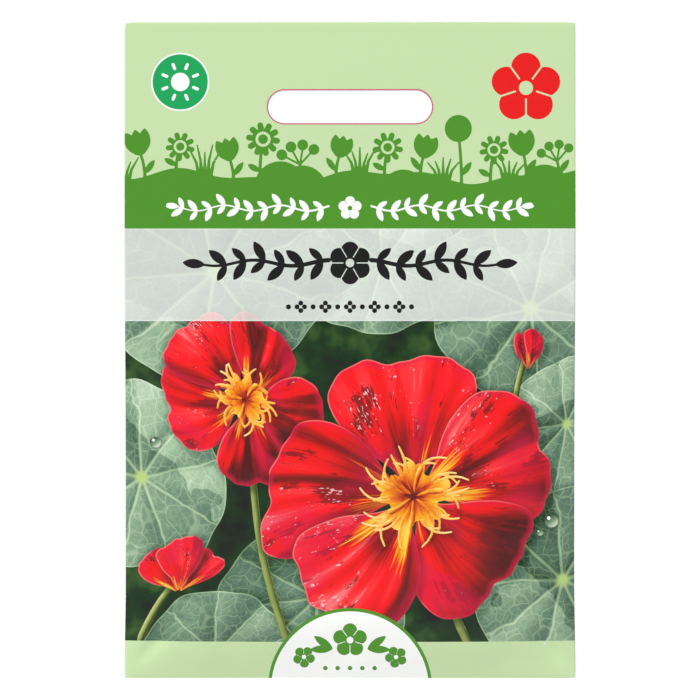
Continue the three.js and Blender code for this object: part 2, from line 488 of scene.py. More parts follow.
def back_surface(x, up):
    return (back_stand(x, up) + PLY) * fold_round(to_sides(x, up))


def gaping(away, along, seed, height, reach):
    """How far a glued edge has sprung up between its spots of glue."""
    spots = waves(seed, 17, 5)
    return height * smooth(0.5 + 0.5 * spots(along, 0 * along)) * np.exp(-clamp(away / reach / 3) * 3)


def outer_back_surface(x, up):
    open_seam = smooth(up / 16) * smooth((HEIGHT - TOP_FLAP["depth"] - up) / 6)
    seam = gaping(x + LAP_HALF, up, 61, 0.3, 1.6) * open_seam
    return (back_stand(x, up) + PLY + lap_rise(x) + seam) * fold_round(to_sides(x, up))


def flap_surface(to_fold, lift):
    def surface(x, up):
        return (back_stand(x, up) + 2 * PLY + over_lap(x) + lift(x, up)) * fold_round(to_fold(x, up))

    return surface


def flap_lift(flap, fold_up, towards, reach, height, seed):
    """A flap's glued edge has come up a little at its corners, and between its spots of glue."""
    edge_up = fold_up + towards * flap["depth"]

    def at(x, up):
        to_edge = np.abs(edge_up - up)
        to_corner = np.hypot(np.maximum(HALF_WIDTH - flap["inset_at_edge"] - np.abs(x), 0), to_edge)
        return height * np.exp(-((to_corner / reach) ** 2)) + gaping(to_edge, x, seed, 0.26, 1.8)

    return at


# ---------------------------------------------------------------- flat print


def union(*shapes):
    return lambda x, up: np.maximum.reduce([shape(x, up) for shape in shapes])


def common(*shapes):
    return lambda x, up: np.minimum.reduce([shape(x, up) for shape in shapes])


def without(shape, hole):
    return lambda x, up: np.minimum(shape(x, up), -hole(x, up))


def block(x0, x1, up0, up1, corner=0.0):
    middle_x, middle_up = (x0 + x1) / 2, (up0 + up1) / 2
    half_x, half_up = (x1 - x0) / 2 - corner, (up1 - up0) / 2 - corner

    def inside(x, up):
        off_x, off_up = np.abs(x - middle_x) - half_x, np.abs(up - middle_up) - half_up
        outside = np.hypot(np.maximum(off_x, 0), np.maximum(off_up, 0))
        return corner - outside - np.minimum(np.maximum(off_x, off_up), 0)

    return inside


def full_width(up0, up1):
    return block(-HALF_WIDTH - 1, HALF_WIDTH + 1, up0, up1)


def placed(shape, x0, up0, turn=0.0):
    """A shape that is drawn about its own origin, turned and moved to its place."""
    c, s = np.cos(turn), np.sin(turn)
    return lambda x, up: shape((x - x0) * c + (up - up0) * s, (up - up0) * c - (x - x0) * s)


def repeated(shape, count):
    """A shape that is drawn along the x axis, repeated all round the origin."""
    part = TURN / count

    def inside(x, up):
        angle = (np.arctan2(up, x) + part / 2) % part - part / 2
        radius = np.hypot(x, up)
        return shape(radius * np.cos(angle), radius * np.sin(angle))

    return inside


def leaflet(length, width):
    """A pointed leaf from its own origin along the x axis."""
    radius = (length * length + width * width) / (4 * width)
    drop = radius - width / 2
    return common(disc(length / 2, -drop, radius), disc(length / 2, drop, radius))


def drop_shape(radius):
    tip = radius * 2.3
    sides = polygon([(-radius * 0.9, radius * 0.43), (radius * 0.9, radius * 0.43), (0, tip)])
    return union(disc(0, 0, radius), sides)


def stroke(points, width, end_width=None):
    """A line that goes through points, with round ends, and tapers where it has a second width."""
    points = np.array(points, float)
    widths = np.linspace(width, width if end_width is None else end_width, len(points)) / 2

    def inside(x, up):
        most = np.full(np.shape(x), -99.0)
        for (x0, up0), (x1, up1), w0, w1 in zip(points, points[1:], widths, widths[1:]):
            dx, du = x1 - x0, up1 - up0
            t = clamp(((x - x0) * dx + (up - up0) * du) / (dx * dx + du * du))
            most = np.maximum(most, w0 + (w1 - w0) * t - np.hypot(x - x0 - t * dx, up - up0 - t * du))
        return most

    return inside


DAISY_RING = 0.44


def daisy(radius, count, petal_width):
    petals = repeated(stadium(radius * 0.6, 0, radius * 0.78, petal_width), count)
    return union(without(petals, disc(0, 0, radius * DAISY_RING)), disc(0, 0, radius * 0.28))


def rose(radius, count=5):
    """Broad petals side by side, parted by fine gaps, round a ringed centre."""
    petals = repeated(disc(radius * 0.58, 0, radius * 0.42), count)
    gap = stadium(radius * 0.72, 0, radius * 0.9, radius * 0.05)
    gaps = placed(repeated(gap, count), 0, 0, np.pi / count)
    centre, eye = disc(0, 0, radius * 0.3), disc(0, 0, radius * 0.2)
    return union(without(without(petals, gaps), centre), without(centre, eye))


def sun_icon(radius):
    rays = repeated(stadium(radius * 0.81, 0, radius * 0.36, radius * 0.15), 8)
    return union(disc(0, 0, radius * 0.45), rays)


def on_stem(head, x, foot, top, lean, bare=0.0, leaf_length=4.2, leaf_spread=0.62):
    """A flower's head on a bent stem with one leaf. The stem stops short of a head that is bare inside."""
    bend = [(x + lean * t * t, foot + (top - foot) * t) for t in np.linspace(0, 1, 6)]
    tilt = -lean / (top - foot) * 1.4
    side = 1 if lean <= 0 else -1
    blade = placed(leaflet(leaf_length, 1.5), *bend[1], np.pi / 2 - side * leaf_spread)
    stem = without(stroke(bend, 0.8, 0.68), disc(*bend[-1], bare))
    return union(stem, blade, placed(head, *bend[-1], tilt))


def tulip(size):
    petals = [
        placed(leaflet(size * tall, size * 0.56), size * foot, size * 0.05, np.pi / 2 - lean)
        for tall, foot, lean in ((1.12, 0, 0), (1.12, -0.16, -0.26), (1.12, 0.16, 0.26))
    ]
    return union(disc(0, size * 0.36, size * 0.38), *petals)


def umbel(size):
    ray_ends = ((-0.9, 0.7), (-0.35, 1), (0.35, 1), (0.9, 0.7))
    balls_at = ((-0.9, 0.7), (-0.33, 1.05), (0.33, 1.05), (0.9, 0.7))
    rays = [stroke([(0, 0), (size * s, size * h)], 0.5) for s, h in ray_ends]
    balls = [disc(size * s, size * h, size * 0.3) for s, h in balls_at]
    return union(*rays, *balls)


def tuft(x, foot, height, count, seed):
    """Blades of grass that fan out."""
    draw = np.random.default_rng(seed)
    blades = []
    for i in range(count):
        out = (i - (count - 1) / 2) * 1.05
        tall = height * draw.uniform(0.7, 1)
        line = [(x + out * 0.7, foot), (x + out, foot + tall * 0.5), (x + out * 1.8, foot + tall)]
        blades.append(stroke(line, 0.95, 0.35))
    return union(*blades)


# Heights of the green band, of the flowers that stand on it in front, and of the picture below it.
BAND_LOW, BAND_HIGH = 109.6, 119.5
SILHOUETTE_HIGH = 139.5
PICTURE_LOW, PICTURE_HIGH = 9.2, BAND_LOW
VEIL_LOW = 87.05


def ridge(x):
    """The height of the flower bed's rolling ground."""
    return 122.4 + 1.3 * np.sin(x * 0.13 + 0.6) + 0.7 * np.sin(x * 0.31 + 2)


def rooted(x):
    return ridge(x) - 0.5


def garden_silhouette():
    """A bed of garden flowers seen against the light, along the top of the band."""
    ball = disc(0, 2.6, 3.3)
    flowers = [
        (tulip(5.4), -50, 127.6, -1.0),
        (tulip(4.8), -28.4, 126.2, -0.8),
        (umbel(4.4), -11.6, 125.2, -0.6),
        (tulip(4.6), -3.4, 127.0, 0.7),
        (tulip(5), 17.2, 126.8, 0.6),
        (ball, 27.2, 131.4, -0.6),
        (tulip(5.4), 43, 127.4, -0.6),
        (umbel(3.8), 51, 126.0, -0.5),
    ]
    daisies = [
        (3.6, 9, -42.4, 129.6, 1.0),
        (4.2, 10, -22, 131.4, 0.8),
        (3.8, 9, 8.4, 129.4, 0.8),
        (3.6, 9, 34.2, 128.8, 0.9),
    ]
    tufts = [(-55.4, 6.5, 4), (-35.4, 7.5, 1), (2.4, 6.5, 2), (22.7, 5.6, 3), (38.8, 5, 5)]
    grown = [on_stem(head, x, rooted(x), top, lean) for head, x, top, lean in flowers]
    for radius, count, x, top, lean in daisies:
        head = daisy(radius, count, radius * 0.35)
        grown.append(on_stem(head, x, rooted(x), top, lean, radius * DAISY_RING, 3.4, 1.05))
    grown += [tuft(x, rooted(x), height, 5, seed) for x, height, seed in tufts]
    bushes = [disc(-17, 119.6, 6.4), disc(-11.6, 119, 6), disc(13, 118.4, 5.6), disc(47.4, 119, 6.2)]
    ground = common(full_width(BAND_LOW, 130), lambda x, up: ridge(x) - up)
    return union(ground, *bushes, *grown)


LEAF_SPREAD = 0.87


def garland(reach, middle, wave, thick, leaf_length, leaf_width, step):
    """A waving stem with leaves in pairs, larger above and below by turns, the same on both sides."""

    def at(x):
        return middle + wave * np.sin(TURN * x / (4 * step))

    xs = np.linspace(5.2, reach, 40)
    parts = [stroke([(x, at(x)) for x in xs], thick, thick * 0.55)]
    for number, x in enumerate(np.arange(6.6, reach - 1, step)):
        slope = np.arctan(wave * TURN / (4 * step) * np.cos(TURN * x / (4 * step)))
        for side, share in ((1, 1.0), (-1, 0.82)):
            size = share if number % 2 else 1.82 - share
            blade = leaflet(leaf_length * size, leaf_width * size)
            parts.append(placed(blade, x, at(x), slope + side * LEAF_SPREAD))
    parts.append(placed(leaflet(leaf_length, leaf_width), reach - 0.3, at(reach), 0.1))
    half = union(*parts)
    return lambda x, up: half(np.abs(x), up)


VEIL_VINE_UP, VEIL_ROW_UP = 101.2, 90.5
BAND_VINE_UP = 114.6


def veil_ornament():
    """The dark garland on the veil, and the row of small flowers and dots under it."""
    row = [placed(repeated(disc(0.92, 0, 0.6), 4), x, VEIL_ROW_UP, 0) for x in np.arange(-12, 13, 6)]
    dots = [disc(x, VEIL_ROW_UP, 0.62) for x in np.arange(-15, 16, 6)]
    middle = placed(rose(5.2, 6), 0, VEIL_VINE_UP, np.pi / 6)
    return union(garland(35.6, VEIL_VINE_UP, 0.7, 1.1, 5.6, 2.3, 4.7), middle, *row, *dots)


def badge_ornament():
    sprig, large, small = leaflet(5.6, 1.9), rose(4.2), rose(2.7)
    sprigs = [
        placed(sprig, side * 4.2, 7.4, np.pi / 2 - side * lean) for side in (-1, 1) for lean in (0.95, 1.6)
    ]
    flowers = [placed(large, 0, 9.6, np.pi / 2), placed(small, -11.2, 5.4, 1), placed(small, 11.2, 5.4, 2)]
    dots = [disc(x, 2.6, 0.55) for x in (-6, -3, 0, 3, 6)]
    return union(*sprigs, *flowers, *dots)


def band_vine(reach):
    vine = garland(reach, BAND_VINE_UP, 0.7, 0.5, 3.6, 1.5, 3.4)
    return union(vine, placed(rose(2.9), 0, BAND_VINE_UP, np.pi / 2))


# Places, radii and limits of the print's plain marks.
BADGE_PLACE, BADGE_RADIUS, BADGE_RIM = (0, -2.5), 20, 0.8
DISC_PLACE, DISC_RADIUS, DISC_RIM = (-41.42, 145.4), 6.74, 0.38
ROSE_PLACE = (42.9, 143.9)
WHOLE = (-HALF_WIDTH - 1, HALF_WIDTH + 1, -1, HEIGHT + 1)

# The panel on the back.
PANEL = (-46, 46, 21, 103)
SIGNS_UP, SIGN_PITCH, SIGN_RING = 89, 29, 9.2
SOW_UP, BLOOM_UP, ROW_HEAD = 67, 59, -38.2
MONTH_PITCH, MONTH_SIZE, MONTHS_LEFT = 6.3, 5.4, -31.6
SOW_MONTHS, BLOOM_MONTHS = (3, 4, 5), (6, 7, 8, 9)
SPACING_UP, GAUGE = 51.7, 20
SOIL_TOP, SEED_DEPTH = 38.6, 31.8
PLANTS = (-30, -10, 10, 30)
STALKS = ((49.6, 0.8), (46.8, 0.5), (44.4, -0.4))
ARROW_TIP = polygon([(0, 0), (1.9, -0.95), (1.9, 0.95)])


def month(number, up):
    left = MONTHS_LEFT + MONTH_PITCH * number
    return block(left, left + MONTH_SIZE, up, up + MONTH_SIZE, 0.7)


def nothing(x, up):
    return np.full(np.shape(x), -99.0)


def panel_greens():
    """The back's green drawings: the sowing months, and a bed with flowers at four ages."""
    sowing = [month(number, SOW_UP) for number in SOW_MONTHS]

    def under_ground(x, up):
        return SOIL_TOP + 0.3 * np.sin(x * 0.5) + 0.2 * np.sin(x * 1.27 + 1) - up

    soil = common(block(-40, 40, SOIL_TOP - 11.2, SOIL_TOP + 0.5, 2.4), under_ground)
    sown = [placed(stadium(0, 0, 3.2, 2.4), x, SEED_DEPTH, x) for x in PLANTS]
    gauge = union(
        block(GAUGE - 0.3, GAUGE + 0.3, SEED_DEPTH + 0.6, SOIL_TOP - 1.6),
        placed(ARROW_TIP, GAUGE, SEED_DEPTH - 0.6, np.pi / 2),
        placed(ARROW_TIP, GAUGE, SOIL_TOP - 0.7, -np.pi / 2),
    )
    bud = placed(leaflet(5.2, 2.6), 0, -0.6, np.pi / 2)
    heads = ((nothing, 1.2), (nothing, 0), (bud, 0))
    stalks = [
        on_stem(head, x, SOIL_TOP - 0.4, top, lean, bare=bare)
        for (head, bare), x, (top, lean) in zip(heads, PLANTS, STALKS)
    ]
    return union(*sowing, *stalks, without(soil, union(*sown, gauge)))


def panel_reds():
    """The back's red drawings: the flowering months, and the flowers of the signs and of the bed."""
    bloom = [month(number, BLOOM_UP) for number in BLOOM_MONTHS]
    (flower_top, flower_lean), (tulip_top, tulip_lean) = STALKS[:2]
    open_flower = placed(rose(4.6), PLANTS[0] + flower_lean, flower_top, 1.2)
    opening = placed(tulip(5), PLANTS[1] + tulip_lean, tulip_top - 0.5)
    sign = placed(rose(5.6), SIGN_PITCH, SIGNS_UP, 1.57)
    return union(*bloom, open_flower, opening, sign, placed(rose(2.8), ROW_HEAD, BLOOM_UP + 2.7, 1.57))


def idle_months():
    idle = [month(n, SOW_UP) for n in range(12) if n not in SOW_MONTHS]
    return union(*idle, *[month(n, BLOOM_UP) for n in range(12) if n not in BLOOM_MONTHS])


def sign_rings():
    return union(*[disc(x, SIGNS_UP, SIGN_RING) for x in (-SIGN_PITCH, 0, SIGN_PITCH)])


def panel_greys():
    """The span between two plants, and the seed that heads the row of sowing months."""
    left, right = PLANTS[2:]
    line = block(left + 1.4, right - 1.4, SPACING_UP - 0.3, SPACING_UP + 0.3)
    tips = placed(ARROW_TIP, left, SPACING_UP), placed(ARROW_TIP, right, SPACING_UP, np.pi)
    return union(line, *tips, placed(stadium(0, 0, 3.4, 2.5), ROW_HEAD, SOW_UP + 2.7, 0.5))


# Four flat shapes to an attribute. Each has the part of its panel where it is drawn and, where its outline
# is followed finely, the part where it is.
PANEL_PART = (-48, 48, 20, 104)
BACK_FLATS = {
    "flat_grounds": [
        (full_width(BAND_LOW, BAND_HIGH), WHOLE, None),
        (block(*PANEL, 3.4), WHOLE, None),
        (panel_greens(), PANEL_PART, (-41, 41, 26, 73)),
        (panel_reds(), PANEL_PART, (-45, 45, 43, 96)),
    ],
    "flat_marks": [
        (panel_greys(), PANEL_PART, (-42, 10, 32, 72)),
        (placed(sun_icon(6.6), -SIGN_PITCH, SIGNS_UP), (-40, -18, 78, 100), (-37, -21, 81, 97)),
        (placed(drop_shape(3.4), 0, SIGNS_UP - 1.6), (-12, 12, 78, 100), None),
        (band_vine(50), (-54, 54, 110, 119), (-53, 53, 111, 118.5)),
    ],
    "flat_rims": [
        (idle_months(), (-48, 48, 56, 76), None),
        (sign_rings(), (-48, 48, 76, 101), None),
    ],
    "flat_edges": [(worn(to_sides), WHOLE, None)],
}
FRONT_FLATS = {
    "flat_grounds": [
        (
            garden_silhouette(),
            (-HALF_WIDTH, HALF_WIDTH, BAND_LOW - 1, SILHOUETTE_HIGH),
            (-HALF_WIDTH + 0.4, HALF_WIDTH - 0.4, 120, SILHOUETTE_HIGH),
        ),
        (band_vine(42), (-46, 46, 110, 119), (-44.5, 44.5, 111, 118.5)),
        (full_width(PICTURE_LOW, PICTURE_HIGH), WHOLE, None),
        (full_width(VEIL_LOW, PICTURE_HIGH), WHOLE, None),
    ],
    "flat_badge": [
        (veil_ornament(), (-46, 46, 88, 109), (-44, 44, 88.6, 107)),
        (disc(*BADGE_PLACE, BADGE_RADIUS), WHOLE, None),
        (disc(*BADGE_PLACE, BADGE_RADIUS - BADGE_RIM), WHOLE, None),
        (badge_ornament(), (-20, 20, 0, 19), (-16, 16, 1.6, 15)),
    ],
    "flat_edges": [
        (worn(to_front_folds), WHOLE, None),
        (lambda x, up: -slot_hole(x, up), WHOLE, None),
    ],
    "flat_marks": [
        (disc(*DISC_PLACE, DISC_RADIUS + DISC_RIM), (-50, -33, 137, 154), None),
        (disc(*DISC_PLACE, DISC_RADIUS), (-50, -33, 137, 154), None),
        (placed(sun_icon(5), *DISC_PLACE, np.pi / 8), (-50, -33, 137, 154), (-47, -35.6, 140, 151)),
        (placed(rose(8.6), *ROSE_PLACE, np.pi / 2), (33, 53, 134, 154), (33.5, 52.5, 134.5, 153.5)),
    ],
}
TOP_FLAP_FLATS = {"flat_edges": [(worn(to_top), WHOLE, None)]}
# The bottom flap is the one that is glued shut, and has the printer's four test dots.
BOTTOM_FLAP_FLATS = {
    "flat_edges": [(worn(to_bottom), WHOLE, None)],
    "flat_dots": [(disc(36.5 + 2.9 * i, 5.2, 1.0), WHOLE, None) for i in range(4)],
}
FINE = 0.21


def fine_drawings(flats):
    return [(shape, part, FINE) for shapes in flats.values() for shape, _, part in shapes if part]


FRONT_ZONES = [((-HALF_WIDTH, HALF_WIDTH, PICTURE_HIGH + 0.6, HEIGHT), 0.95)]
FRONT_DRAWINGS, BACK_DRAWINGS = fine_drawings(FRONT_FLATS), fine_drawings(BACK_FLATS)


def put(mesh, name, values):
    """Four numbers at each of the outer face's places, kept on the mesh for its print."""
    whole = np.full((len(mesh.vertices), 4), -9.0, np.float32)
    whole[: len(values)] = values
    mesh.attributes.new(name, "FLOAT_COLOR", "POINT").data.foreach_set("color", whole.ravel())


def put_flats(mesh, places, flats):
    x, up = places.T
    for name, shapes in flats.items():
        values = np.full((len(x), 4), -9.0)
        for channel, (shape, zone, _) in enumerate(shapes):
            near = window(x, up, zone)
            values[near, channel] = shape(x[near], up[near])
        put(mesh, name, values)


# ---------------------------------------------------------------- painted picture

SUN = np.array([-0.52, 0.58, 0.63])
SHADOW_SOFTNESS = 1.6
VEINS = 9
SLOPE_STEP = 0.25


def seen_tilted(centre, axis, squash):
    """From a flower's or leaf's own plane to the picture, where it is seen at a slant, and back."""
    c, s = np.cos(axis), np.sin(axis)
    turn = np.array([[c, -s], [s, c]])
    matrix = turn @ np.diag([1, squash]) @ turn.T
    inverse = np.linalg.inv(matrix)

    def out(points):
        return np.array(centre) + points @ matrix.T

    def back(x, up):
        dx, du = x - centre[0], up - centre[1]
        return inverse[0, 0] * dx + inverse[0, 1] * du, inverse[1, 0] * dx + inverse[1, 1] * du

    return out, back


def ring(angles, radii):
    """Places round the origin."""
    return np.stack([radii * np.cos(angles), radii * np.sin(angles)], axis=1)


class Layer:
    """One painted thing: its outline, its own two coordinates, and the relief that its light comes from."""

    def __init__(self, outline, local, relief, lift, shade, inside=None):
        self.inside = inside or polygon(outline)
        self.local, self.relief, self.lift, self.shade = local, relief, lift, shade
        self.low, self.high = outline.min(axis=0), outline.max(axis=0)

    def near(self, x, up, reach):
        low, high = self.low - reach, self.high + reach
        return (x > low[0]) & (x < high[0]) & (up > low[1]) & (up < high[1])

    def light(self, x, up):
        here = self.relief(x, up)
        slope_x = (self.relief(x + SLOPE_STEP, up) - here) / SLOPE_STEP
        slope_up = (self.relief(x, up + SLOPE_STEP) - here) / SLOPE_STEP
        length = np.sqrt(slope_x**2 + slope_up**2 + 1)
        return clamp((SUN[2] - slope_x * SUN[0] - slope_up * SUN[1]) / length)

    def shadow(self, x, up):
        """How much of the sun it keeps from what lies below it."""
        dark = np.zeros(len(x))
        near = self.near(x, up, 6)
        px, pu = x[near], up[near]
        cast = self.inside(px + SUN[0] * self.lift, pu + SUN[1] * self.lift)
        close = self.inside(px, pu)
        dark[near] = np.maximum(
            self.shade * clamp(0.5 + cast / SHADOW_SOFTNESS), 0.8 * self.shade * clamp(1 + close / 1.4)
        )
        return dark


def petal(flower, direction, length, spread, seed, lift=2.6):
    """A broad, rippled petal. Its own two coordinates are the share of its length, and of its half width."""
    out, back = flower
    draw = np.random.default_rng(seed)
    p0, p1, p2, p3, p4 = draw.uniform(0, TURN, 5)
    lean, bend = draw.uniform(-0.06, 0.06), draw.uniform(-0.22, 0.22)
    slant = draw.uniform(-0.3, 0.3, 2)

    def rim(a):
        ripple = 0.035 * np.sin(3.6 * a + p0) + 0.014 * np.sin(9 * a + p1) + 0.006 * np.sin(23 * a + p2)
        notch = 0.03 * np.exp(-(((a - lean * 3) / 0.11) ** 2))
        return 1 + lean * a + ripple - notch - 0.13 * np.abs(a) ** 3 - 0.26 * np.abs(a) ** 9

    def side(u):
        return 0.62 + 0.38 * smooth(u / 0.5)

    across = np.linspace(-1, 1, 56)
    rim_u = rim(across)
    left = np.linspace(0.05, rim_u[0], 14)[:-1]
    right = np.linspace(rim_u[-1], 0.05, 14)[1:]
    u = np.concatenate([left, rim_u, right])
    a = np.concatenate([-side(left), across * side(rim_u), side(right)])
    angle = direction + spread * a + bend * u * u
    outline = out(ring(angle, u * length))

    def local(x, up):
        px, pu = back(x, up)
        u = np.hypot(px, pu) / length
        angle = np.arctan2(pu, px) - direction - bend * np.minimum(u, 1.3) ** 2
        return u, ((angle + np.pi) % TURN - np.pi) / spread

    def relief(x, up):
        u, a = local(x, up)
        u, a = np.minimum(u, 1.3), np.clip(a, -1.6, 1.6)
        rise = 0.52 * u - 0.5 * u * u + u * (slant[0] * np.cos(spread * a) + slant[1] * np.sin(spread * a))
        broad = 0.11 * u * u * np.sin(3.0 * a + p0) + 0.05 * u * np.sin(5.5 * u + 2 * a + p4)
        folds = 0.017 * u * np.sin(9 * a + p1) + 0.007 * u * np.sin(21 * a + p3)
        ruffle = 0.03 * smooth((u - 0.5) / 0.5) * np.sin(6.5 * a + p2 + 3 * u)
        groove = -0.04 * u * np.exp(-((a / 0.12) ** 2))
        return length * (rise + broad + folds + ruffle + groove - 0.11 * u * a**4)

    return Layer(outline, local, relief, lift, 0.62)


def leaf(hub, radius, turn, axis, squash, seed):
    """A round leaf whose veins run out from its hub, with the blade raised between them."""
    out, back = seen_tilted(hub, axis, squash)
    p0, p1, p2 = np.random.default_rng(seed).uniform(0, TURN, 3)
    angles = np.linspace(0, TURN, 90, endpoint=False)
    rim = 1 + 0.035 * np.sin(3 * angles + p0) + 0.025 * np.sin(7 * angles + p1)
    outline = out(ring(angles, radius * (rim + 0.01 * np.sin(13 * angles))))

    def local(x, up):
        px, pu = back(x, up)
        c, s = np.cos(turn), np.sin(turn)
        return (px * c + pu * s) / radius, (pu * c - px * s) / radius

    def relief(x, up):
        px, pu = local(x, up)
        r, angle = np.hypot(px, pu), np.arctan2(pu, px)
        sectors = 0.085 * r * np.sqrt(np.sin(VEINS / 2 * angle) ** 2 + 0.02)
        waves_out = 0.05 * r * r * np.sin(3 * angle + p2) + 0.03 * np.sin(5 * px + p0) * np.sin(4 * pu + p1)
        return radius * (0.2 * r - 0.16 * r * r + sectors + waves_out)

    return Layer(outline, local, relief, 2.2, 0.5)


def throat(flower, radius, seed):
    """The frayed golden middle where a flower's petals meet."""
    out, back = flower
    p0, p1 = np.random.default_rng(seed).uniform(0, TURN, 2)
    angles = np.linspace(0, TURN, 80, endpoint=False)
    rim = 1 + 0.16 * np.sin(5 * angles + p0) + 0.10 * np.sin(13 * angles + p1)
    outline = out(ring(angles, radius * (rim + 0.06 * np.sin(31 * angles))))

    def local(x, up):
        px, pu = back(x, up)
        return np.hypot(px, pu) / radius, np.arctan2(pu, px)

    def relief(x, up):
        r, angle = local(x, up)
        return radius * (0.55 * np.minimum(r, 1.4) ** 1.5 + 0.05 * np.sin(9 * angle + p0))

    return Layer(outline, local, relief, 0.4, 0.1)


def bar(start, end, width, end_width, lift=1.2):
    """A stamen, stem or sepal: a tapered, slightly bent rod, lit as a round one."""
    (x0, up0), (x1, up1) = start, end
    length = np.hypot(x1 - x0, up1 - up0)
    ax, au = (x1 - x0) / length, (up1 - up0) / length
    t = np.linspace(0, 1, 12)
    half = (width + (end_width - width) * t) / 2
    half = half * np.sqrt(1 - (2 * t - 1) ** 8 * 0.98)
    bow_out = 0.05 * length * np.sin(np.pi * t)
    normal = np.array([-au, ax])
    line = np.array([x0, up0]) + t[:, None] * length * np.array([ax, au]) + bow_out[:, None] * normal
    outline = np.concatenate([line + half[:, None] * normal, (line - half[:, None] * normal)[::-1]])

    def local(x, up):
        along = ((x - x0) * ax + (up - up0) * au) / length
        off = (up - up0) * ax - (x - x0) * au - 0.05 * length * np.sin(np.pi * clamp(along))
        wide = (width + (end_width - width) * clamp(along)) / 2
        return along, off / wide

    def relief(x, up):
        along, off = local(x, up)
        wide = (width + (end_width - width) * clamp(along)) / 2
        return wide * np.sqrt(np.maximum(1.02 - np.clip(off, -1, 1) ** 2, 0.02))

    return Layer(outline, local, relief, lift, 0.45)


def fringe(centre, axis, squash, turns, near, far, seed):
    """Fine curled hairs that stand up where the petals narrow, as one layer."""
    draw = np.random.default_rng(seed)
    hairs, outlines = [], []
    for turn in turns:
        for _ in range(7):
            angle = np.radians(turn) + draw.uniform(-0.42, 0.42)
            start, end = near * draw.uniform(0.85, 1.1), far * draw.uniform(0.75, 1.15)
            curl = draw.uniform(-0.5, 0.5)
            reach = np.linspace(start, end, 7)
            bent = angle + curl * ((reach - start) / (end - start)) ** 2
            out, _ = seen_tilted(centre, axis, squash)
            line = out(ring(bent, reach))
            hairs.append(stroke(line, 0.8, 0.42))
            outlines.append(line)
    inside = union(*hairs)

    def local(x, up):
        return np.hypot(x - centre[0], up - centre[1]) / far, inside(x, up) / 0.3

    def relief(x, up):
        return 0.5 * np.sqrt(np.maximum(inside(x, up) + 0.1, 0.01))

    return Layer(np.concatenate(outlines), local, relief, 1.0, 0.5, inside)


def water_drop(x0, up0, radius):
    angles = np.linspace(0, TURN, 40)[:-1]
    outline = np.array([x0, up0]) + ring(angles, radius) * np.array([1, 0.92])

    def local(x, up):
        return (x - x0) / radius, (up - up0) / radius

    def relief(x, up):
        return 0 * x

    return Layer(outline, local, relief, 0.9, 0.4)


def blossom(centre, axis, squash, directions, length, spread, seed):
    """Petals round a centre, given from the lowest to the topmost."""
    flower = seen_tilted(centre, axis, squash)
    draw = np.random.default_rng(seed)
    lengths = length * draw.uniform(0.93, 1.07, len(directions))
    return [
        petal(flower, np.radians(turn), size, spread * draw.uniform(0.92, 1.1), seed * 10 + i)
        for i, (turn, size) in enumerate(zip(directions, lengths))
    ]


FIRST_CENTRE, SECOND_CENTRE = (15.5, 44.5), (-25.5, 68)
FIRST_TILT, SECOND_TILT = (0.4, 0.93), (2.2, 0.8)
FIRST_PETALS, SECOND_PETALS = (96, 24, 168, 310, 238), (200, 128, 272, 60, -14)
leaves = [
    leaf((8, 101), 19, 0.3, 0.5, 0.9, 1),
    leaf((-33, 99), 30, 1.1, 0.2, 0.86, 2),
    leaf((44, 90), 26, 2.0, 2.6, 0.9, 3),
    leaf((53, 62), 17, 0.4, 1.2, 0.8, 4),
    leaf((-8, 20), 23, 2.6, 0.1, 0.85, 5),
    leaf((-51, 49), 23, 0.9, 1.9, 0.88, 6),
    leaf((52, 24), 23, 1.7, 0.9, 0.92, 7),
    leaf((-33, 6), 19, 0.2, 0.3, 0.8, 8),
]
stems = [
    bar((-14, 6), (-24, 60), 2.0, 1.6, 2.4),
    bar((30, 6), (21, 36), 2.2, 1.8, 2.4),
    bar((-52, 8), (-39, 28), 1.8, 1.5, 2.0),
    bar((40, 56), (43, 79), 1.4, 1.5, 2.0),
]
bud_flower = seen_tilted((-42, 21), 0.5, 0.78)
late_bud = seen_tilted((43.5, 75), 1.6, 0.8)
petals = [
    *blossom(SECOND_CENTRE, *SECOND_TILT, SECOND_PETALS, 23, 0.68, 5),
    petal(bud_flower, 2.2, 15, 0.5, 71),
    petal(bud_flower, 0.9, 14, 0.5, 72),
    petal(bud_flower, 1.55, 16, 0.56, 73),
    petal(late_bud, 1.95, 9.5, 0.42, 74),
    petal(late_bud, 1.2, 10, 0.46, 75),
    *blossom(FIRST_CENTRE, *FIRST_TILT, FIRST_PETALS, 35, 0.7, 4),
]
throats = [
    throat(seen_tilted(SECOND_CENTRE, *SECOND_TILT), 4.9, 3),
    throat(seen_tilted(FIRST_CENTRE, *FIRST_TILT), 7.8, 4),
]
fringes = [
    fringe(SECOND_CENTRE, *SECOND_TILT, SECOND_PETALS, 4.6, 8.6, 12),
    fringe(FIRST_CENTRE, *FIRST_TILT, FIRST_PETALS, 7, 12.6, 11),
]
rods = [
    bar(*np.add(centre, ring(turn, np.array([0.8, reach]))), 0.7, 1.7)
    for centre, reach, turns in (
        (FIRST_CENTRE, 7.6, (0.2, 1.3, 2.4, 3.7, 4.6, 5.5)),
        (SECOND_CENTRE, 4.8, (0.9, 2.9, 4.4)),
    )
    for turn in turns
]
drops = [
    water_drop(-47.5, 57.5, 1.5),
    water_drop(49.3, 38.4, 1.8),
    water_drop(46.4, 35.6, 0.9),
    water_drop(-2, 14.6, 1.3),
]
# From the lowest to the topmost. Each family has its own way of colouring.
FAMILIES = {
    "leaf": leaves,
    "stem": stems,
    "petal": petals,
    "throat": throats,
    "fringe": fringes,
    "rod": rods,
    "drop": drops,
}


def all_over(layer, step):
    """Places close together on the whole of a slim painted thing, as its light changes fast across it."""
    zone = np.stack([layer.low - 1, layer.high + 1], axis=1).ravel()
    return lambda x, up: np.minimum(layer.inside(x, up), 0), tuple(zone), step


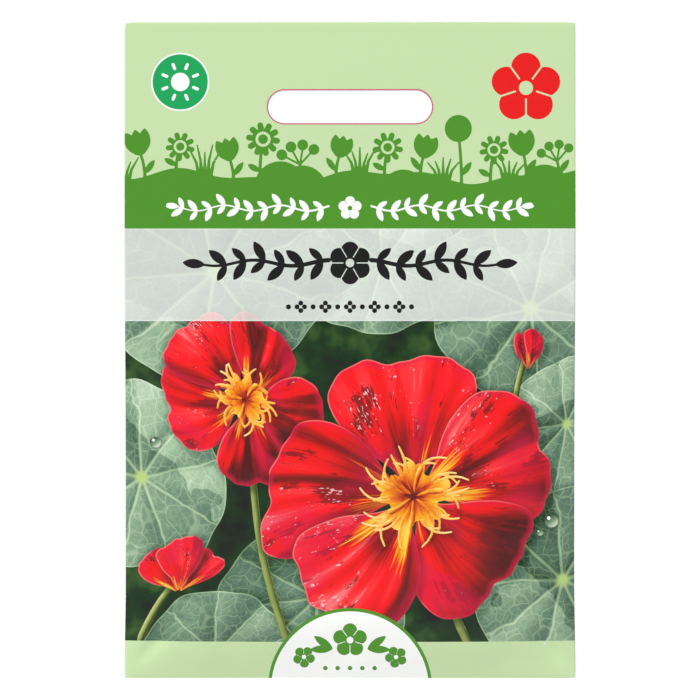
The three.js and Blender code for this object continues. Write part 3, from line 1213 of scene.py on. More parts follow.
FRONT_DRAWINGS += [all_over(layer, 0.3) for layer in stems + rods]
FRONT_DRAWINGS += [all_over(layer, 0.26) for layer in fringes + drops]
NUMBER_STEP = 4.0


def paint_picture(mesh, places):
    """Every layer's numbers at every place: how far inside it lies, the layer's own two coordinates, and its
    light together with its number."""
    x, up = places.T
    picture = np.flatnonzero(window(x, up, (-HALF_WIDTH, HALF_WIDTH, PICTURE_LOW - 1, PICTURE_HIGH + 1)))
    order = [
        (family, number, layer)
        for family, layers in FAMILIES.items()
        for number, layer in enumerate(layers)
    ]
    for rank, (family, number, layer) in enumerate(order):
        values = np.tile([-9.0, 0, 0, 0.5 + NUMBER_STEP * number], (len(x), 1))
        near = picture[layer.near(x[picture], up[picture], 1.2)]
        px, pu = x[near], up[near]
        light = layer.light(px, pu)
        for _, _, upper in order[rank + 1 :]:
            light = light * (1 - upper.shadow(px, pu))
        light = 0.03 + 0.97 * light
        values[near] = np.stack(
            [layer.inside(px, pu), *layer.local(px, pu), light + NUMBER_STEP * number], axis=1
        )
        put(mesh, f"{family}_{number}", values)


# ---------------------------------------------------------------- materials


SHEEN = 0.02


def ink(red, green, blue):
    """A printed colour, from the 0 to 255 values that it shows under the coat's own even sheen."""
    values = np.array([red, green, blue]) / 255
    linear = np.where(values <= 0.04045, values / 12.92, ((values + 0.055) / 1.055) ** 2.4)
    return (*np.maximum(linear - SHEEN, 0.002).tolist(), 1.0)


class Wire:
    """A number, vector or colour on its way through a material's nodes."""

    def __init__(self, board, socket):
        self.board, self.socket = board, socket

    def __add__(self, other):
        return self.board.math("ADD", self, other)

    def __sub__(self, other):
        return self.board.math("SUBTRACT", self, other)

    def __rsub__(self, other):
        return self.board.math("SUBTRACT", other, self)

    def __mul__(self, other):
        return self.board.math("MULTIPLY", self, other)

    def __truediv__(self, other):
        return self.board.math("DIVIDE", self, other)

    __radd__ = __add__
    __rmul__ = __mul__


class Board:
    """A material, and its nodes written as arithmetic. Each node is made after the ones that it reads, and
    every link joins sockets of one kind, so that the renderer works through them in this order."""

    def __init__(self, name, roughness=0.45):
        self.material = bpy.data.materials.new(name)
        self.material.use_nodes = True
        self.tree = self.material.node_tree
        self.shader = self.tree.nodes["Principled BSDF"]
        self.set("Roughness", roughness)

    def set(self, name, value):
        """One of the shader's own sockets."""
        self.feed(self.shader.inputs[name], value)

    def feed(self, socket, value):
        if isinstance(value, Wire):
            self.tree.links.new(value.socket, socket)
        else:
            socket.default_value = value

    def add(self, kind, inputs, output=0, **settings):
        node = self.tree.nodes.new(kind)
        for key, value in settings.items():
            setattr(node, key, value)
        for key, value in inputs.items():
            self.feed(node.inputs[key], value)
        return Wire(self, node.outputs[output])

    def math(self, operation, *values):
        return self.add("ShaderNodeMath", dict(enumerate(values)), operation=operation)

    def over(self, value, limit):
        return self.math("GREATER_THAN", value, limit)

    def band(self, value, low, high, to_low=0.0, to_high=1.0):
        """A smooth rise or fall of a number between two limits."""
        inputs = {"Value": value, "From Min": low, "From Max": high, "To Min": to_low, "To Max": to_high}
        return self.add("ShaderNodeMapRange", inputs, interpolation_type="SMOOTHSTEP")

    def numbers(self, name):
        """An attribute's first three numbers as a vector, and its fourth."""
        node = self.tree.nodes.new("ShaderNodeAttribute")
        node.attribute_name = name
        return Wire(self, node.outputs["Vector"]), Wire(self, node.outputs["Alpha"])

    def split(self, vector):
        node = self.tree.nodes.new("ShaderNodeSeparateXYZ")
        self.feed(node.inputs[0], vector)
        return [Wire(self, output) for output in node.outputs]

    def join(self, x, y, z):
        return self.add("ShaderNodeCombineXYZ", {0: x, 1: y, 2: z})

    def noise(self, vector, scale=1.0, detail=2.0, rough=0.5):
        inputs = {"Vector": vector, "Scale": scale, "Detail": detail, "Roughness": rough}
        return self.add("ShaderNodeTexNoise", inputs)

    def cells(self, vector, scale):
        inputs = {"Vector": vector, "Scale": scale}
        return self.add("ShaderNodeTexVoronoi", inputs, feature="DISTANCE_TO_EDGE")

    def mix(self, share, low, high):
        """Between two colours."""
        return self.add("ShaderNodeMix", {0: share, 6: low, 7: high}, 2, data_type="RGBA")

    def choose(self, share, low, high):
        """Between two vectors."""
        return self.add("ShaderNodeMix", {0: share, 4: low, 5: high}, 1, data_type="VECTOR")

    def lay(self, colour, prints):
        """Inks printed over a colour one by one, each where its flat shape is above 0."""
        for shape, tint in prints:
            colour = self.mix(self.over(shape, 0), colour, tint)
        return colour

    def emboss(self, height, strength, distance):
        inputs = {"Strength": strength, "Distance": distance, "Height": height}
        self.set("Normal", self.add("ShaderNodeBump", inputs))

    def blend(self, share, low, high):
        """Between two numbers."""
        return self.add("ShaderNodeMix", {0: share, 2: low, 3: high}, 0, data_type="FLOAT")

    def ramp(self, value, stops):
        """Colours along a number, given as places and inks."""
        node = self.tree.nodes.new("ShaderNodeValToRGB")
        marks = node.color_ramp.elements
        while len(marks) < len(stops):
            marks.new(0.5)
        for mark, (place, colour) in zip(marks, stops):
            mark.position, mark.color = place, ink(*colour)
        self.feed(node.inputs[0], value)
        return Wire(self, node.outputs["Color"])

    def stack(self, family):
        """The topmost of a family's layers: its own three numbers, its light, and which it is."""
        place, tone = self.numbers(f"{family}_0")
        for number in range(1, len(FAMILIES[family])):
            upper, upper_tone = self.numbers(f"{family}_{number}")
            shown = self.over(self.split(upper)[0], 0)
            place = self.choose(shown, place, upper)
            tone = self.blend(shown, tone, upper_tone)
        which = self.math("FLOOR", tone / NUMBER_STEP)
        light = tone - which * NUMBER_STEP
        return *self.split(place), light, which


# A family's colouring: where it is shown, and its paint there.


def petal_colour(board):
    edge, along, across, light, which = board.stack("petal")
    shown = board.over(edge, 0)
    folds = board.noise(board.join(across * 4.6, along * 1.2, which * 5.13), 1, 3, 0.6)
    fine = board.noise(board.join(across * 19, along * 2.1, which * 3.71), 1, 2, 0.6)
    spots = board.noise(board.join(across * 2.0, along * 2.6, which * 7.7 + 3.3), 1, 4, 0.62)
    own = board.math("SINE", which * 2.4)
    other = board.math("SINE", which * 4.1 + 1)
    tone = light * 0.96 + (folds - 0.5) * 0.6 + (fine - 0.5) * 0.3 + own * 0.05
    reds = [
        (0.0, (88, 10, 28)),
        (0.2, (132, 14, 32)),
        (0.38, (190, 18, 36)),
        (0.54, (234, 24, 38)),
        (0.76, (252, 34, 46)),
        (0.93, (254, 66, 70)),
        (1.0, (255, 120, 122)),
    ]
    colour = board.ramp(tone, reds)
    blotch = board.band(spots + (fine - 0.5) * 0.5 + (folds - 0.5) * 0.3 + own * 0.03, 0.57, 0.64, 0.0, 0.85)
    colour = board.mix(blotch, colour, ink(120, 14, 34))
    flush = board.noise(board.join(across * 1.7, along * 1.9, which * 2.9 + 8), 1, 1)
    pink = board.band(flush, 0.5, 0.68, 0.0, 0.5)
    rim_pink = board.band(edge + (folds - 0.5) * 3.0, 0.2, 1.8, 0.55, 0.0)
    colour = board.mix(board.math("MAXIMUM", pink, rim_pink), colour, ink(222, 16, 78))
    beside = board.math("ABSOLUTE", board.math("ABSOLUTE", across) - 0.55)
    lobes = board.band(beside, 0.05, 0.4, 0.3, 0.0) * (other * 0.45 + 0.75)
    dark = board.band(board.math("ABSOLUTE", across) + (fine - 0.5) * 0.9, 0.1, 0.5, 1.0, 0.0)
    from_throat = board.math("ABSOLUTE", along - 0.36) + (folds - 0.5) * 0.25
    dark = dark * board.band(from_throat, 0.04, 0.24, 0.9, 0.0)
    colour = board.mix(dark * (own * 0.3 + 0.65), colour, ink(92, 10, 36))
    reach = (fine - 0.5) * 0.75 + (folds - 0.5) * 0.6 + lobes + 0.15
    flame = board.band(reach - along, -0.01, 0.03)
    flames = [(0.0, (232, 66, 34)), (0.16, (242, 122, 32)), (0.4, (248, 172, 42)), (0.75, (253, 212, 82))]
    lit = board.band(light, 0.1, 0.62, 0.45, 1.0)
    heat = board.ramp((reach - along) * 3.6 * lit, flames)
    colour = board.mix(flame * lit, colour, heat)
    glint = board.noise(board.join(across * 34, along * 22, which * 1.3), 1, 2, 0.6)
    bright = board.band(glint + (tone - 0.6) * 0.34 + (spots - 0.5) * 0.7, 0.77, 0.81, 0.0, 0.85)
    colour = board.mix(bright, colour, ink(255, 206, 208))
    rim = board.band(edge, 0.08, 0.42, 1.0, 0.0) * board.band(light, 0.3, 0.85, 0.05, 0.85)
    return shown, board.mix(rim, colour, ink(252, 132, 122))


def leaf_colour(board):
    edge, side, top, light, which = board.stack("leaf")
    shown = board.over(edge, 0)
    radius = board.math("SQRT", side * side + top * top)
    at = board.join(side, top, which * 3.7)
    warp = board.noise(at, 3.0, 2)
    sway = board.noise(board.join(side, top, which * 3.7 + 40), 3.4, 2)
    angle = board.math("ARCTAN2", top, side) * (VEINS / TURN) + 0.5 + (warp - 0.5) * radius * 0.6
    from_vein = board.math("ABSOLUTE", board.math("FRACT", angle) - 0.5) * radius * (TURN / VEINS)
    vein = 1 - from_vein * (radius * 30 + 36)
    vein = board.band(vein, 0, 0.7)
    bent = board.join(side + (warp - 0.5) * 0.3, top + (sway - 0.5) * 0.3, which * 3.7)
    web = board.band(board.cells(bent, 5.4), 0.0, 0.05, 0.6, 0.0)
    web = board.math("MAXIMUM", web, board.band(board.cells(bent, 13), 0.0, 0.075, 0.34, 0.0))
    patches = board.noise(at, 1.7, 2, 0.55)
    mottle = board.noise(at, 14, 3, 0.6)
    turn = which * 2.3 + 0.9
    cut = side * board.math("COSINE", turn) + top * board.math("SINE", turn) + (warp - 0.5) * 0.35
    sunny = board.over(cut, 0.36 + board.math("SINE", which * 1.9) * 0.16) * board.over(0.62, patches)
    tone = light * 0.62 + sunny * 0.24 + (mottle - 0.5) * 0.2 + (patches - 0.5) * 0.3
    tone = tone + board.math("SINE", which * 2.7 + 1) * 0.08
    greens = [
        (0.0, (40, 62, 42)),
        (0.2, (72, 102, 82)),
        (0.4, (100, 130, 110)),
        (0.58, (128, 158, 130)),
        (0.76, (160, 190, 156)),
        (0.95, (196, 219, 190)),
    ]
    colour = board.ramp(tone, greens)
    pale = board.ramp(tone, [(0.0, (96, 126, 84)), (0.5, (178, 206, 166)), (0.9, (228, 240, 216))])
    colour = board.mix(board.math("MAXIMUM", web, vein) * 0.85, colour, pale)
    hub = board.band(radius + (mottle - 0.5) * 0.06, 0.03, 0.11, 0.95, 0.0)
    colour = board.mix(hub, colour, ink(186, 214, 130))
    rim = board.band(edge, 0.1, 0.42, 0.75, 0.0)
    return shown, board.mix(rim, colour, pale)


def stem_colour(board):
    edge, along, across, light, which = board.stack("stem")
    grain = board.noise(board.join(along * 9, across * 0.8, which * 4.0), 1, 2)
    tone = light * 0.9 + (grain - 0.5) * 0.35
    greens = [(0.05, (62, 74, 36)), (0.45, (122, 138, 72)), (0.75, (168, 180, 106)), (1.0, (214, 222, 160))]
    return board.over(edge, 0), board.ramp(tone, greens)


def throat_colour(board):
    edge, out, angle, light, which = board.stack("throat")
    turn = board.join(board.math("SINE", angle), board.math("COSINE", angle), out * 0.35 + which * 3)
    rays = board.noise(turn, 4.5, 3, 0.6)
    tone = out * 0.72 + (rays - 0.5) * 0.9 + light * 0.25
    warm = [
        (0.12, (96, 20, 18)),
        (0.3, (190, 62, 22)),
        (0.5, (236, 124, 30)),
        (0.75, (248, 178, 46)),
        (1.0, (254, 214, 96)),
    ]
    return board.over(edge, 0), board.ramp(tone, warm)


def rod_colour(board):
    edge, along, across, light, which = board.stack("rod")
    grain = board.noise(board.join(along * 5, across * 1.2, which * 2.2), 1, 2)
    tone = light * 0.8 + (grain - 0.5) * 0.5 + board.band(along, 0.5, 0.9, 0.0, 0.2)
    warm = [(0.1, (150, 40, 20)), (0.45, (232, 110, 30)), (0.72, (248, 176, 50)), (1.0, (255, 226, 130))]
    return board.over(edge, 0), board.ramp(tone, warm)


def fringe_colour(board):
    edge, out, off, light, which = board.stack("fringe")
    tone = out * 0.5 + light * 0.5 + (board.noise(board.join(out * 5, off, which), 1, 1) - 0.5) * 0.5
    warm = [(0.1, (196, 60, 26)), (0.4, (242, 130, 40)), (0.7, (252, 196, 84)), (1.0, (255, 236, 176))]
    return board.over(edge, 0), board.ramp(tone, warm)


def drop_colour(board):
    edge, side, top, _, _ = board.stack("drop")
    lower = side * 0.55 - top * 0.8
    greens = [(0.1, (50, 74, 52)), (0.5, (120, 150, 118)), (0.95, (222, 236, 212))]
    colour = board.ramp(lower * 0.5 + 0.5, greens)
    rim = board.band(edge, 0.02, 0.3, 0.8, 0.0)
    colour = board.mix(rim, colour, ink(70, 92, 66))
    spot = board.math("SQRT", (side + 0.38) * (side + 0.38) + (top - 0.4) * (top - 0.4))
    return board.over(edge, 0), board.mix(board.over(0.24, spot), colour, ink(255, 255, 255))


def object_place(board, scale):
    """A place on the object, in units of one part in scale of a metre."""
    coordinates = board.add("ShaderNodeTexCoord", {}, "Object")
    return board.add("ShaderNodeVectorMath", {0: coordinates, "Scale": scale}, operation="SCALE")


PALE_GREEN, DARK_GREEN = ink(202, 226, 175), ink(84, 150, 52)
DISC_GREEN, ROSE_RED = ink(3, 169, 96), ink(236, 29, 34)
WHITE_INK, BLACK_INK, GREY_INK = ink(252, 254, 252), ink(36, 38, 34), ink(120, 126, 118)
SUN_YELLOW, WATER_BLUE = ink(246, 168, 32), ink(60, 150, 206)
TEST_INKS = ink(0, 158, 224), ink(226, 0, 122), ink(255, 222, 0), BLACK_INK
DIE_PINK, DIE_LINE = ink(205, 100, 125), 0.32


def coat(board, colour, place):
    """The finish that all the printed faces share: coated paper with a fine fibre, lightly uneven in its
    gloss, whose ink has cracked here and there along the folds."""
    edges, _ = board.numbers("flat_edges")
    to_fold = board.split(edges)[0]
    crack = board.noise(place, 1.9, 3, 0.7)
    bare = board.band(to_fold + (crack - 0.4) * 1.3, -0.02, 0.14, 0.8, 0.0)
    fibre = board.noise(place, 5.5, 3, 0.65)
    gloss = board.noise(place, 0.35, 2, 0.5)
    board.set("Base Color", board.mix(bare, colour, ink(246, 246, 240)))
    board.set("Specular IOR Level", 0.34)
    board.set("Roughness", board.band(gloss, 0.25, 0.75, 0.36, 0.5))
    board.emboss(fibre, 0.08, 0.0001)
    return board.material


def front_print():
    board = Board("front_print")
    place = object_place(board, 1 / MM)
    shade = [(0.3, (20, 36, 24)), (0.5, (40, 64, 38)), (0.62, (62, 92, 50)), (0.74, (104, 132, 70))]
    colour = board.ramp(board.noise(place, 0.09, 3, 0.6), shade)
    painters = leaf_colour, stem_colour, petal_colour, throat_colour, fringe_colour, rod_colour, drop_colour
    for painter in painters:
        shown, paint = painter(board)
        colour = board.mix(shown, colour, paint)
    grounds, veil = board.numbers("flat_grounds")
    band, white_vine, picture = board.split(grounds)
    haze = board.over(veil, 0) * board.band(veil, 0.0, 0.45, 0.85, 0.65)
    colour = board.mix(haze, colour, ink(242, 247, 242))
    colour = board.mix(board.over(picture, 0), PALE_GREEN, colour)
    colour = board.mix(board.over(band, 0) * board.over(0, picture), colour, DARK_GREEN)
    colour = board.lay(colour, [(white_vine, WHITE_INK)])
    badge, badge_mark = board.numbers("flat_badge")
    dark_vine, badge_rim, badge_face = board.split(badge)
    inks = BLACK_INK, DARK_GREEN, WHITE_INK, DARK_GREEN
    colour = board.lay(colour, zip((dark_vine, badge_rim, badge_face, badge_mark), inks))
    marks, red_rose = board.numbers("flat_marks")
    disc_rim, disc_face, disc_sun = board.split(marks)
    inks = WHITE_INK, DISC_GREEN, WHITE_INK, ROSE_RED
    colour = board.lay(colour, zip((disc_rim, disc_face, disc_sun, red_rose), inks))
    edges, _ = board.numbers("flat_edges")
    colour = board.mix(board.over(DIE_LINE, board.split(edges)[1]), colour, DIE_PINK)
    return coat(board, colour, place)


SPRINKLE_ROW, SPRINKLE_PITCH = 7.0, 8.0


def sprinkled_ground(board, place):
    """The back's pale green, with small flowers in rows, a little darker."""
    across, _, up = board.split(place)
    row = board.math("FLOOR", up / SPRINKLE_ROW)
    shift = board.math("MODULO", row, 2) * (SPRINKLE_PITCH / 2)
    column = (across + shift + 50 * SPRINKLE_PITCH) / SPRINKLE_PITCH
    x = (board.math("FRACT", column) - 0.5) * SPRINKLE_PITCH
    y = (board.math("FRACT", up / SPRINKLE_ROW) - 0.5) * SPRINKLE_ROW
    radius = board.math("SQRT", x * x + y * y)
    angle = board.math("ARCTAN2", y, x)
    reach = board.math("COSINE", angle * 5.0 + 1.57) * 0.42 + 1.25
    petals = board.over(reach, radius) * board.over(radius, 0.42)
    return board.mix(petals, PALE_GREEN, ink(186, 215, 156))


RULES_UP, RULES_REACH = (55.2, 76.3), 40.0


def back_print():
    board = Board("back_print")
    place = object_place(board, 1 / MM)
    across, _, above = board.split(place)
    colour = sprinkled_ground(board, place)
    grounds, reds = board.numbers("flat_grounds")
    band, panel, greens = board.split(grounds)
    rims, _ = board.numbers("flat_rims")
    idle, rings, _ = board.split(rims)
    colour = board.lay(colour, [(band, DARK_GREEN), (panel, DARK_GREEN)])
    colour = board.mix(board.over(panel, 0.7), colour, WHITE_INK)
    colour = board.mix(board.over(rings, 0) * board.over(0.6, rings), colour, DARK_GREEN)
    grey = board.over(idle, 0) * board.over(0.4, idle)
    for up in RULES_UP:
        line = board.over(0.2, board.math("ABSOLUTE", above - (BOTTOM + up)))
        grey = board.math("MAXIMUM", grey, line * board.over(RULES_REACH, board.math("ABSOLUTE", across)))
    colour = board.mix(grey, colour, GREY_INK)
    colour = board.lay(colour, [(greens, DARK_GREEN), (reds, ROSE_RED)])
    marks, vine = board.numbers("flat_marks")
    greys, sun, drop = board.split(marks)
    inks = GREY_INK, SUN_YELLOW, WATER_BLUE, WHITE_INK
    return coat(board, board.lay(colour, zip((greys, sun, drop, vine), inks)), place)


def flap_print(has_dots):
    """The flaps carry on the front's plain pale green. The one at the bottom has the printer's test dots."""
    board = Board("bottom_flap_print" if has_dots else "top_flap_print")
    place = object_place(board, 1 / MM)
    mottle = board.noise(place, 0.6, 2)
    colour = board.mix(board.band(mottle, 0.3, 0.7, 0.0, 0.1), PALE_GREEN, ink(212, 232, 188))
    if has_dots:
        dots, black = board.numbers("flat_dots")
        colour = board.lay(colour, zip((*board.split(dots), black), TEST_INKS))
    return coat(board, colour, place)


def bare_paper(name, colour, roughness):
    """Uncoated stock: the inside of the packet, and the cut edges of its plies."""
    board = Board(name, roughness)
    place = object_place(board, 1 / MM)
    fibre = board.noise(place, 3.2, 4, 0.7)
    cloud = board.noise(place, 0.22, 2, 0.5)
    shade = board.band(fibre + (cloud - 0.5) * 0.6, 0.2, 0.8)
    darker = tuple(channel * 0.86 for channel in colour[:3]) + (1.0,)
    board.set("Base Color", board.mix(shade, darker, colour))
    board.emboss(fibre, 0.25, 0.0001)
    return board.material


def foil():
    board = Board("sachet_foil", 0.34)
    place = object_place(board, 1 / MM)
    haze = board.noise(place, 0.5, 3, 0.6)
    board.set("Base Color", board.mix(haze, ink(206, 207, 203), ink(228, 228, 223)))
    board.set("Roughness", board.band(haze, 0.3, 0.7, 0.3, 0.42))
    board.set("Metallic", 0.4)
    return board.material


def husk():
    """Dry, corky, pale brown, with painted shade: darker in the wrinkles, where the bump's noise is low."""
    board = Board("seed_husk", 0.85)
    place = object_place(board, 1 / MM)
    cork = board.noise(place, 1.6, 4, 0.65)
    pits = board.cells(place, 1.4)
    # Painted shade: the colour follows the cork noise that also makes the bump, so the bump's hollows come out
    # darker.
    tone = cork * 0.8 + board.band(pits, 0.0, 0.25, 0.0, 0.25)
    browns = [(0.25, (96, 70, 42)), (0.5, (158, 124, 80)), (0.68, (186, 154, 108)), (0.85, (212, 186, 142))]
    board.set("Base Color", board.ramp(tone, browns))
    board.emboss(cork, 0.5, 0.0002)
    return board.material


# ---------------------------------------------------------------- the sheet, ply by ply

packet_front, front_places = lay_ply(
    "packet_front",
    FRONT_OUTLINE,
    front_surface,
    -1,
    FRONT_STEP,
    FRONT_FOLDS,
    has_slot=True,
    zones=FRONT_ZONES,
    drawings=FRONT_DRAWINGS,
)
put_flats(packet_front.data, front_places, FRONT_FLATS)
paint_picture(packet_front.data, front_places)
# The slot runs out through the cut edge of each back ply, so it is a notch in their outlines.
slot_low, slot_high = SLOT_MIDDLE - SLOT_HEIGHT / 2, SLOT_MIDDLE + SLOT_HEIGHT / 2
inner_notch = [(LAP_HALF, slot_low), *slot_end(-1, BACK_STEP), (LAP_HALF, slot_high)]
outer_notch = [(-LAP_HALF, slot_high), *slot_end(1, BACK_STEP)[::-1], (-LAP_HALF, slot_low)]
left_low, left_high = (-HALF_WIDTH, TUCK), (-HALF_WIDTH, HEIGHT - TUCK)
right_low, right_high = (HALF_WIDTH, TUCK), (HALF_WIDTH, HEIGHT - TUCK)
back_inner, back_inner_places = lay_ply(
    "packet_back_inner",
    [left_low, (LAP_HALF, TUCK), *inner_notch, (LAP_HALF, HEIGHT - TUCK), left_high],
    back_surface,
    1,
    BACK_STEP,
    [(left_high, left_low)],
    drawings=BACK_DRAWINGS,
)
back_outer, back_outer_places = lay_ply(
    "packet_back_outer",
    [(-LAP_HALF, TUCK), right_low, right_high, (-LAP_HALF, HEIGHT - TUCK), *outer_notch],
    outer_back_surface,
    1,
    BACK_STEP,
    [(right_low, right_high)],
    drawings=BACK_DRAWINGS,
)
top_outline = flap_outline(TOP_FLAP, HEIGHT, -1)
top_flap, top_flap_places = lay_ply(
    "packet_top_flap",
    top_outline,
    flap_surface(to_top, flap_lift(TOP_FLAP, HEIGHT, -1, 8, 0.5, 62)),
    1,
    BACK_STEP,
    [(top_outline[-1], top_outline[0])],
    has_slot=True,
)
bottom_outline = flap_outline(BOTTOM_FLAP, 0, 1)
bottom_flap, bottom_flap_places = lay_ply(
    "packet_bottom_flap",
    bottom_outline,
    flap_surface(to_bottom, flap_lift(BOTTOM_FLAP, 0, 1, 6, 0.4, 63)),
    1,
    BACK_STEP,
    [(bottom_outline[-1], bottom_outline[0])],
)

# The print doesn't quite meet at the seam, as the sheet was folded a little off.
SEAM_SLIP = 0.25
put_flats(back_inner.data, back_inner_places + np.array([0, SEAM_SLIP]), BACK_FLATS)
put_flats(back_outer.data, back_outer_places, BACK_FLATS)
put_flats(top_flap.data, top_flap_places, TOP_FLAP_FLATS)
put_flats(bottom_flap.data, bottom_flap_places, BOTTOM_FLAP_FLATS)
core = bare_paper("paper_core", ink(246, 246, 242), 0.85)
inside = bare_paper("paper_inside", ink(240, 240, 234), 0.7)
printed = {packet_front: front_print(), top_flap: flap_print(False), bottom_flap: flap_print(True)}
printed[back_inner] = printed[back_outer] = back_print()
for ply, face in printed.items():
    for material in (face, core, inside):
        ply.data.materials.append(material)

# ---------------------------------------------------------------- the sachet and the seeds in it

SACHET = {"width": 84, "height": 92, "above_fold": 2, "seal": 6, "film": 0.12, "seal_gap": 0.3}
POCKET = {"half": 3.25, "rise": 5, "side": 6, "full_to": 34}
CRIMP_PITCH, CRIMP_HEIGHT = 1.25, 0.05
TOOTH_PITCH, TOOTH_DEPTH = 1.5, 0.6
sachet_low, sachet_high = SACHET["above_fold"], SACHET["above_fold"] + SACHET["height"]
sachet_half = SACHET["width"] / 2


def pocket(x, up):
    """Half the space between the sachet's films."""
    rise = smooth((up - sachet_low - SACHET["seal"]) / POCKET["rise"])
    side = smooth((sachet_half - SACHET["seal"] - np.abs(x)) / POCKET["side"])
    end = sachet_high - SACHET["seal"]
    gap = SACHET["seal_gap"] / 2
    return gap + (POCKET["half"] - gap) * rise * side * thin_out(up, POCKET["full_to"], end)


def film_surface(seed):
    """A film's outer face: stiff small wrinkles over the pocket, and ribs pressed into the seals."""
    long_folds, short_folds = waves(seed, 21), waves(seed + 1, 8)

    def surface(x, up):
        to_side = sachet_half - np.abs(x)
        to_end = np.minimum(up - sachet_low, sachet_high - up)
        in_pocket = smooth((np.minimum(to_side, to_end) - SACHET["seal"]) / 3)
        wrinkles = 0.2 * (1 - np.abs(np.sin(2.2 * long_folds(x, up)))) + 0.06 * np.abs(short_folds(x, up))
        ribs = np.where(to_side < to_end, np.sin(TURN * x / CRIMP_PITCH), np.sin(TURN * up / CRIMP_PITCH))
        crimp = (1 - in_pocket) * CRIMP_HEIGHT * (0.5 + 0.5 * ribs)
        return pocket(x, up) + SACHET["film"] + in_pocket * wrinkles + crimp

    return surface


def pinked_outline():
    """The sachet's outline, with the toothed cut of its lower and upper ends."""
    teeth = int(SACHET["width"] / TOOTH_PITCH)
    xs = np.linspace(-sachet_half, sachet_half, 2 * teeth + 1)
    cut = TOOTH_DEPTH * (np.arange(2 * teeth + 1) % 2)
    lower = [(x, sachet_low + c) for x, c in zip(xs, cut)]
    return lower + [(x, sachet_high - c) for x, c in zip(xs[::-1], cut[::-1])]


FILM_STEP, SEAL_STEP = 0.7, 0.33
seal = SACHET["seal"] + 0.2
seal_zones = [
    ((-sachet_half, sachet_half, sachet_low, sachet_low + seal), SEAL_STEP),
    ((-sachet_half, sachet_half, sachet_high - seal, sachet_high), SEAL_STEP),
    ((-sachet_half, seal - sachet_half, sachet_low, sachet_high), SEAL_STEP),
    ((sachet_half - seal, sachet_half, sachet_low, sachet_high), SEAL_STEP),
]
sachet_foil = foil()
for side, facing in (("front", -1), ("back", 1)):
    film, _ = lay_ply(
        f"sachet_{side}",
        pinked_outline(),
        film_surface(31 + facing),
        facing,
        FILM_STEP,
        zones=seal_zones,
        stock={"node": f"sachet_{side}_film", "slot": "sachet_film", "thickness": SACHET["film"]},
    )
    for _ in (PRINTED, CUT_EDGE, INSIDE):
        film.data.materials.append(sachet_foil)


def corky_tree(material):
    """Geometry nodes that make a smooth seed into a wrinkled, corky one. Lengths are in metres here."""
    tree = bpy.data.node_groups.new("corky_husk", "GeometryNodeTree")
    sockets = (
        ("Geometry", "NodeSocketGeometry", None),
        ("Levels", "NodeSocketInt", 2),
        ("Wrinkle height", "NodeSocketFloat", 0.00032),
        ("Wrinkles per metre", "NodeSocketFloat", 620.0),
        ("Pit depth", "NodeSocketFloat", 0.00016),
        ("Pits per metre", "NodeSocketFloat", 1500.0),
    )
    for name, kind, value in sockets:
        socket = tree.interface.new_socket(name, in_out="INPUT", socket_type=kind)
        if value is not None:
            socket.default_value = value
    tree.interface.new_socket("Geometry", in_out="OUTPUT", socket_type="NodeSocketGeometry")

    def node(kind, inputs=(), **settings):
        made = tree.nodes.new(kind)
        for key, value in settings.items():
            setattr(made, key, value)
        for key, value in dict(inputs).items():
            if isinstance(value, bpy.types.NodeSocket):
                tree.links.new(value, made.inputs[key])
            else:
                made.inputs[key].default_value = value
        return made.outputs

    def worked(operation, *values):
        return node("ShaderNodeMath", dict(enumerate(values)), operation=operation)[0]

    given = node("NodeGroupInput")
    fine = node("GeometryNodeSubdivisionSurface", {"Mesh": given["Geometry"], "Level": given["Levels"]})
    place = node("GeometryNodeInputPosition")
    inputs = {"Vector": place[0], "Scale": given["Wrinkles per metre"], "Detail": 2.0}
    folds = node("ShaderNodeTexNoise", inputs)[0]
    from_fold = worked("ABSOLUTE", worked("SUBTRACT", folds, 0.5))
    wrinkle = worked("MULTIPLY", worked("MULTIPLY", from_fold, given["Wrinkle height"]), 4.0)
    inputs = {"Vector": place[0], "Scale": given["Pits per metre"]}
    pits = node("ShaderNodeTexVoronoi", inputs, feature="DISTANCE_TO_EDGE")[0]
    pit = worked("MULTIPLY", pits, given["Pit depth"])
    height = worked("SUBTRACT", worked("ADD", wrinkle, pit), given["Wrinkle height"])
    normal = node("GeometryNodeInputNormal")
    offset = node("ShaderNodeVectorMath", {0: normal[0], "Scale": height}, operation="SCALE")
    moved = node("GeometryNodeSetPosition", {"Geometry": fine[0], "Offset": offset[0]})
    smoothed = node("GeometryNodeSetShadeSmooth", {"Geometry": moved[0]})
    real = node("GeometryNodeRealizeInstances", {"Geometry": smoothed[0]})
    painted = node("GeometryNodeSetMaterial", {"Geometry": real[0], "Material": material})
    node("NodeGroupOutput", {"Geometry": painted[0]})
    return tree


def joined_copy(node):
    """A solid's mesh with its triangles joined at their corners."""
    joined = bmesh.new()
    joined.from_mesh(node.data)
    joined.transform(node.matrix_world)
    bmesh.ops.remove_doubles(joined, verts=joined.verts, dist=0.005 * MM)
    mesh = bpy.data.meshes.new(node.name)
    joined.to_mesh(mesh)
    joined.free()
    return mesh


def build_seeds():
    tree = corky_tree(husk())
    for name in sorted(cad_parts):
        if not name.startswith("seed_"):
            continue
        low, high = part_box(name)
        middle = (low + high) / 2 / MM
        shift = Vector((0, float(bow(np.array(middle.x), np.array(middle.z - BOTTOM))) * MM, 0))
        blank = add_object(f"{name}_blank", joined_copy(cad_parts[name]))
        modifier = blank.modifiers.new("husk", "NODES")
        modifier.node_group = tree
        shaped = blank.evaluated_get(bpy.context.evaluated_depsgraph_get())
        mesh = bpy.data.meshes.new_from_object(shaped)
        mesh.transform(Matrix.Translation(shift))
        bpy.data.objects.remove(blank)
        dress(add_object(f"husk_{name}", mesh), name)


build_seeds()

# ---------------------------------------------------------------- studio

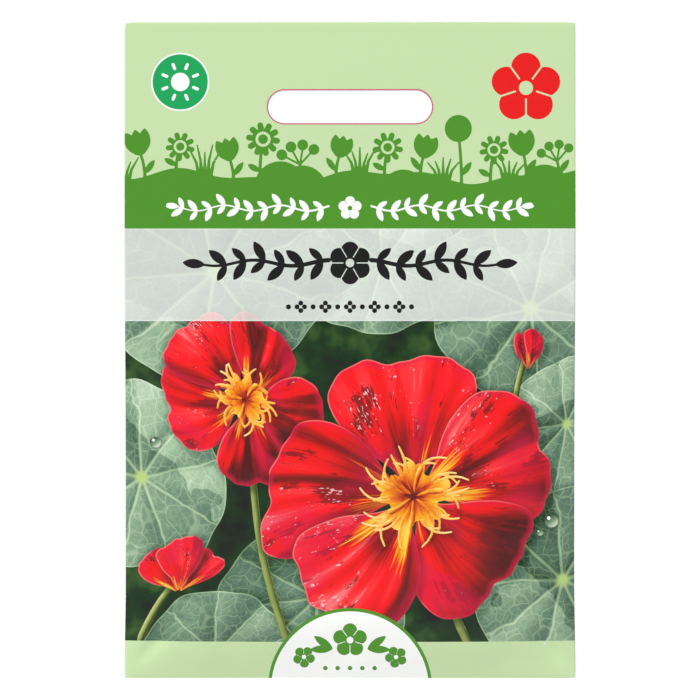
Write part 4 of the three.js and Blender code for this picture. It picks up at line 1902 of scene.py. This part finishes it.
FRAME_WIDTH = 170.7
LENS, SENSOR = 150, 36
FLOOR_BELOW = 24
KEY = {"from": (-0.34, -0.36, 0.87), "softness": 14, "power": 2.58}
SKY_LIGHT = 0.42


def build_floor():
    mesh = bpy.data.meshes.new("studio_floor")
    reach = 6.0
    level = (BOTTOM - FLOOR_BELOW) * MM
    corners = [(x * reach, y * reach, level) for x, y in ((-1, -1), (1, -1), (1, 1), (-1, 1))]
    mesh.from_pydata(corners, [], [(0, 1, 2, 3)])
    board = Board("studio_paper", 0.8)
    board.set("Base Color", (0.97, 0.97, 0.97, 1))
    mesh.materials.append(board.material)
    add_object("studio_floor", mesh)


def build_camera():
    lens = bpy.data.cameras.new("camera")
    lens.type = "PERSP"
    lens.lens, lens.sensor_width = LENS, SENSOR
    camera = add_object("camera", lens)
    middle = (BOTTOM + HEIGHT / 2) * MM
    camera.location = (0, -FRAME_WIDTH * MM * LENS / SENSOR, middle)
    camera.rotation_euler = (np.pi / 2, 0, 0)
    bpy.context.scene.camera = camera


def build_key():
    """A large soft light, far off to the upper left."""
    light = bpy.data.lights.new("key", "SUN")
    light.angle, light.energy = np.radians(KEY["softness"]), KEY["power"]
    lamp = add_object("key", light)
    lamp.rotation_euler = (-Vector(KEY["from"])).to_track_quat("-Z", "Y").to_euler()


def build_sky():
    """A white studio: plain white where the camera looks past the packet, and softer white as its light."""
    world = bpy.data.worlds.new("studio")
    world.use_nodes = True
    nodes, links = world.node_tree.nodes, world.node_tree.links
    light, seen = nodes["Background"], nodes.new("ShaderNodeBackground")
    light.inputs["Color"].default_value = seen.inputs["Color"].default_value = (1, 1, 1, 1)
    light.inputs["Strength"].default_value, seen.inputs["Strength"].default_value = SKY_LIGHT, 1.0
    path, either = nodes.new("ShaderNodeLightPath"), nodes.new("ShaderNodeMixShader")
    links.new(path.outputs["Is Camera Ray"], either.inputs[0])
    links.new(light.outputs[0], either.inputs[1])
    links.new(seen.outputs[0], either.inputs[2])
    links.new(either.outputs[0], nodes["World Output"].inputs["Surface"])
    bpy.context.scene.world = world


build_floor()
build_camera()
build_sky()
build_key()
bpy.context.scene.view_settings.view_transform = "Standard"
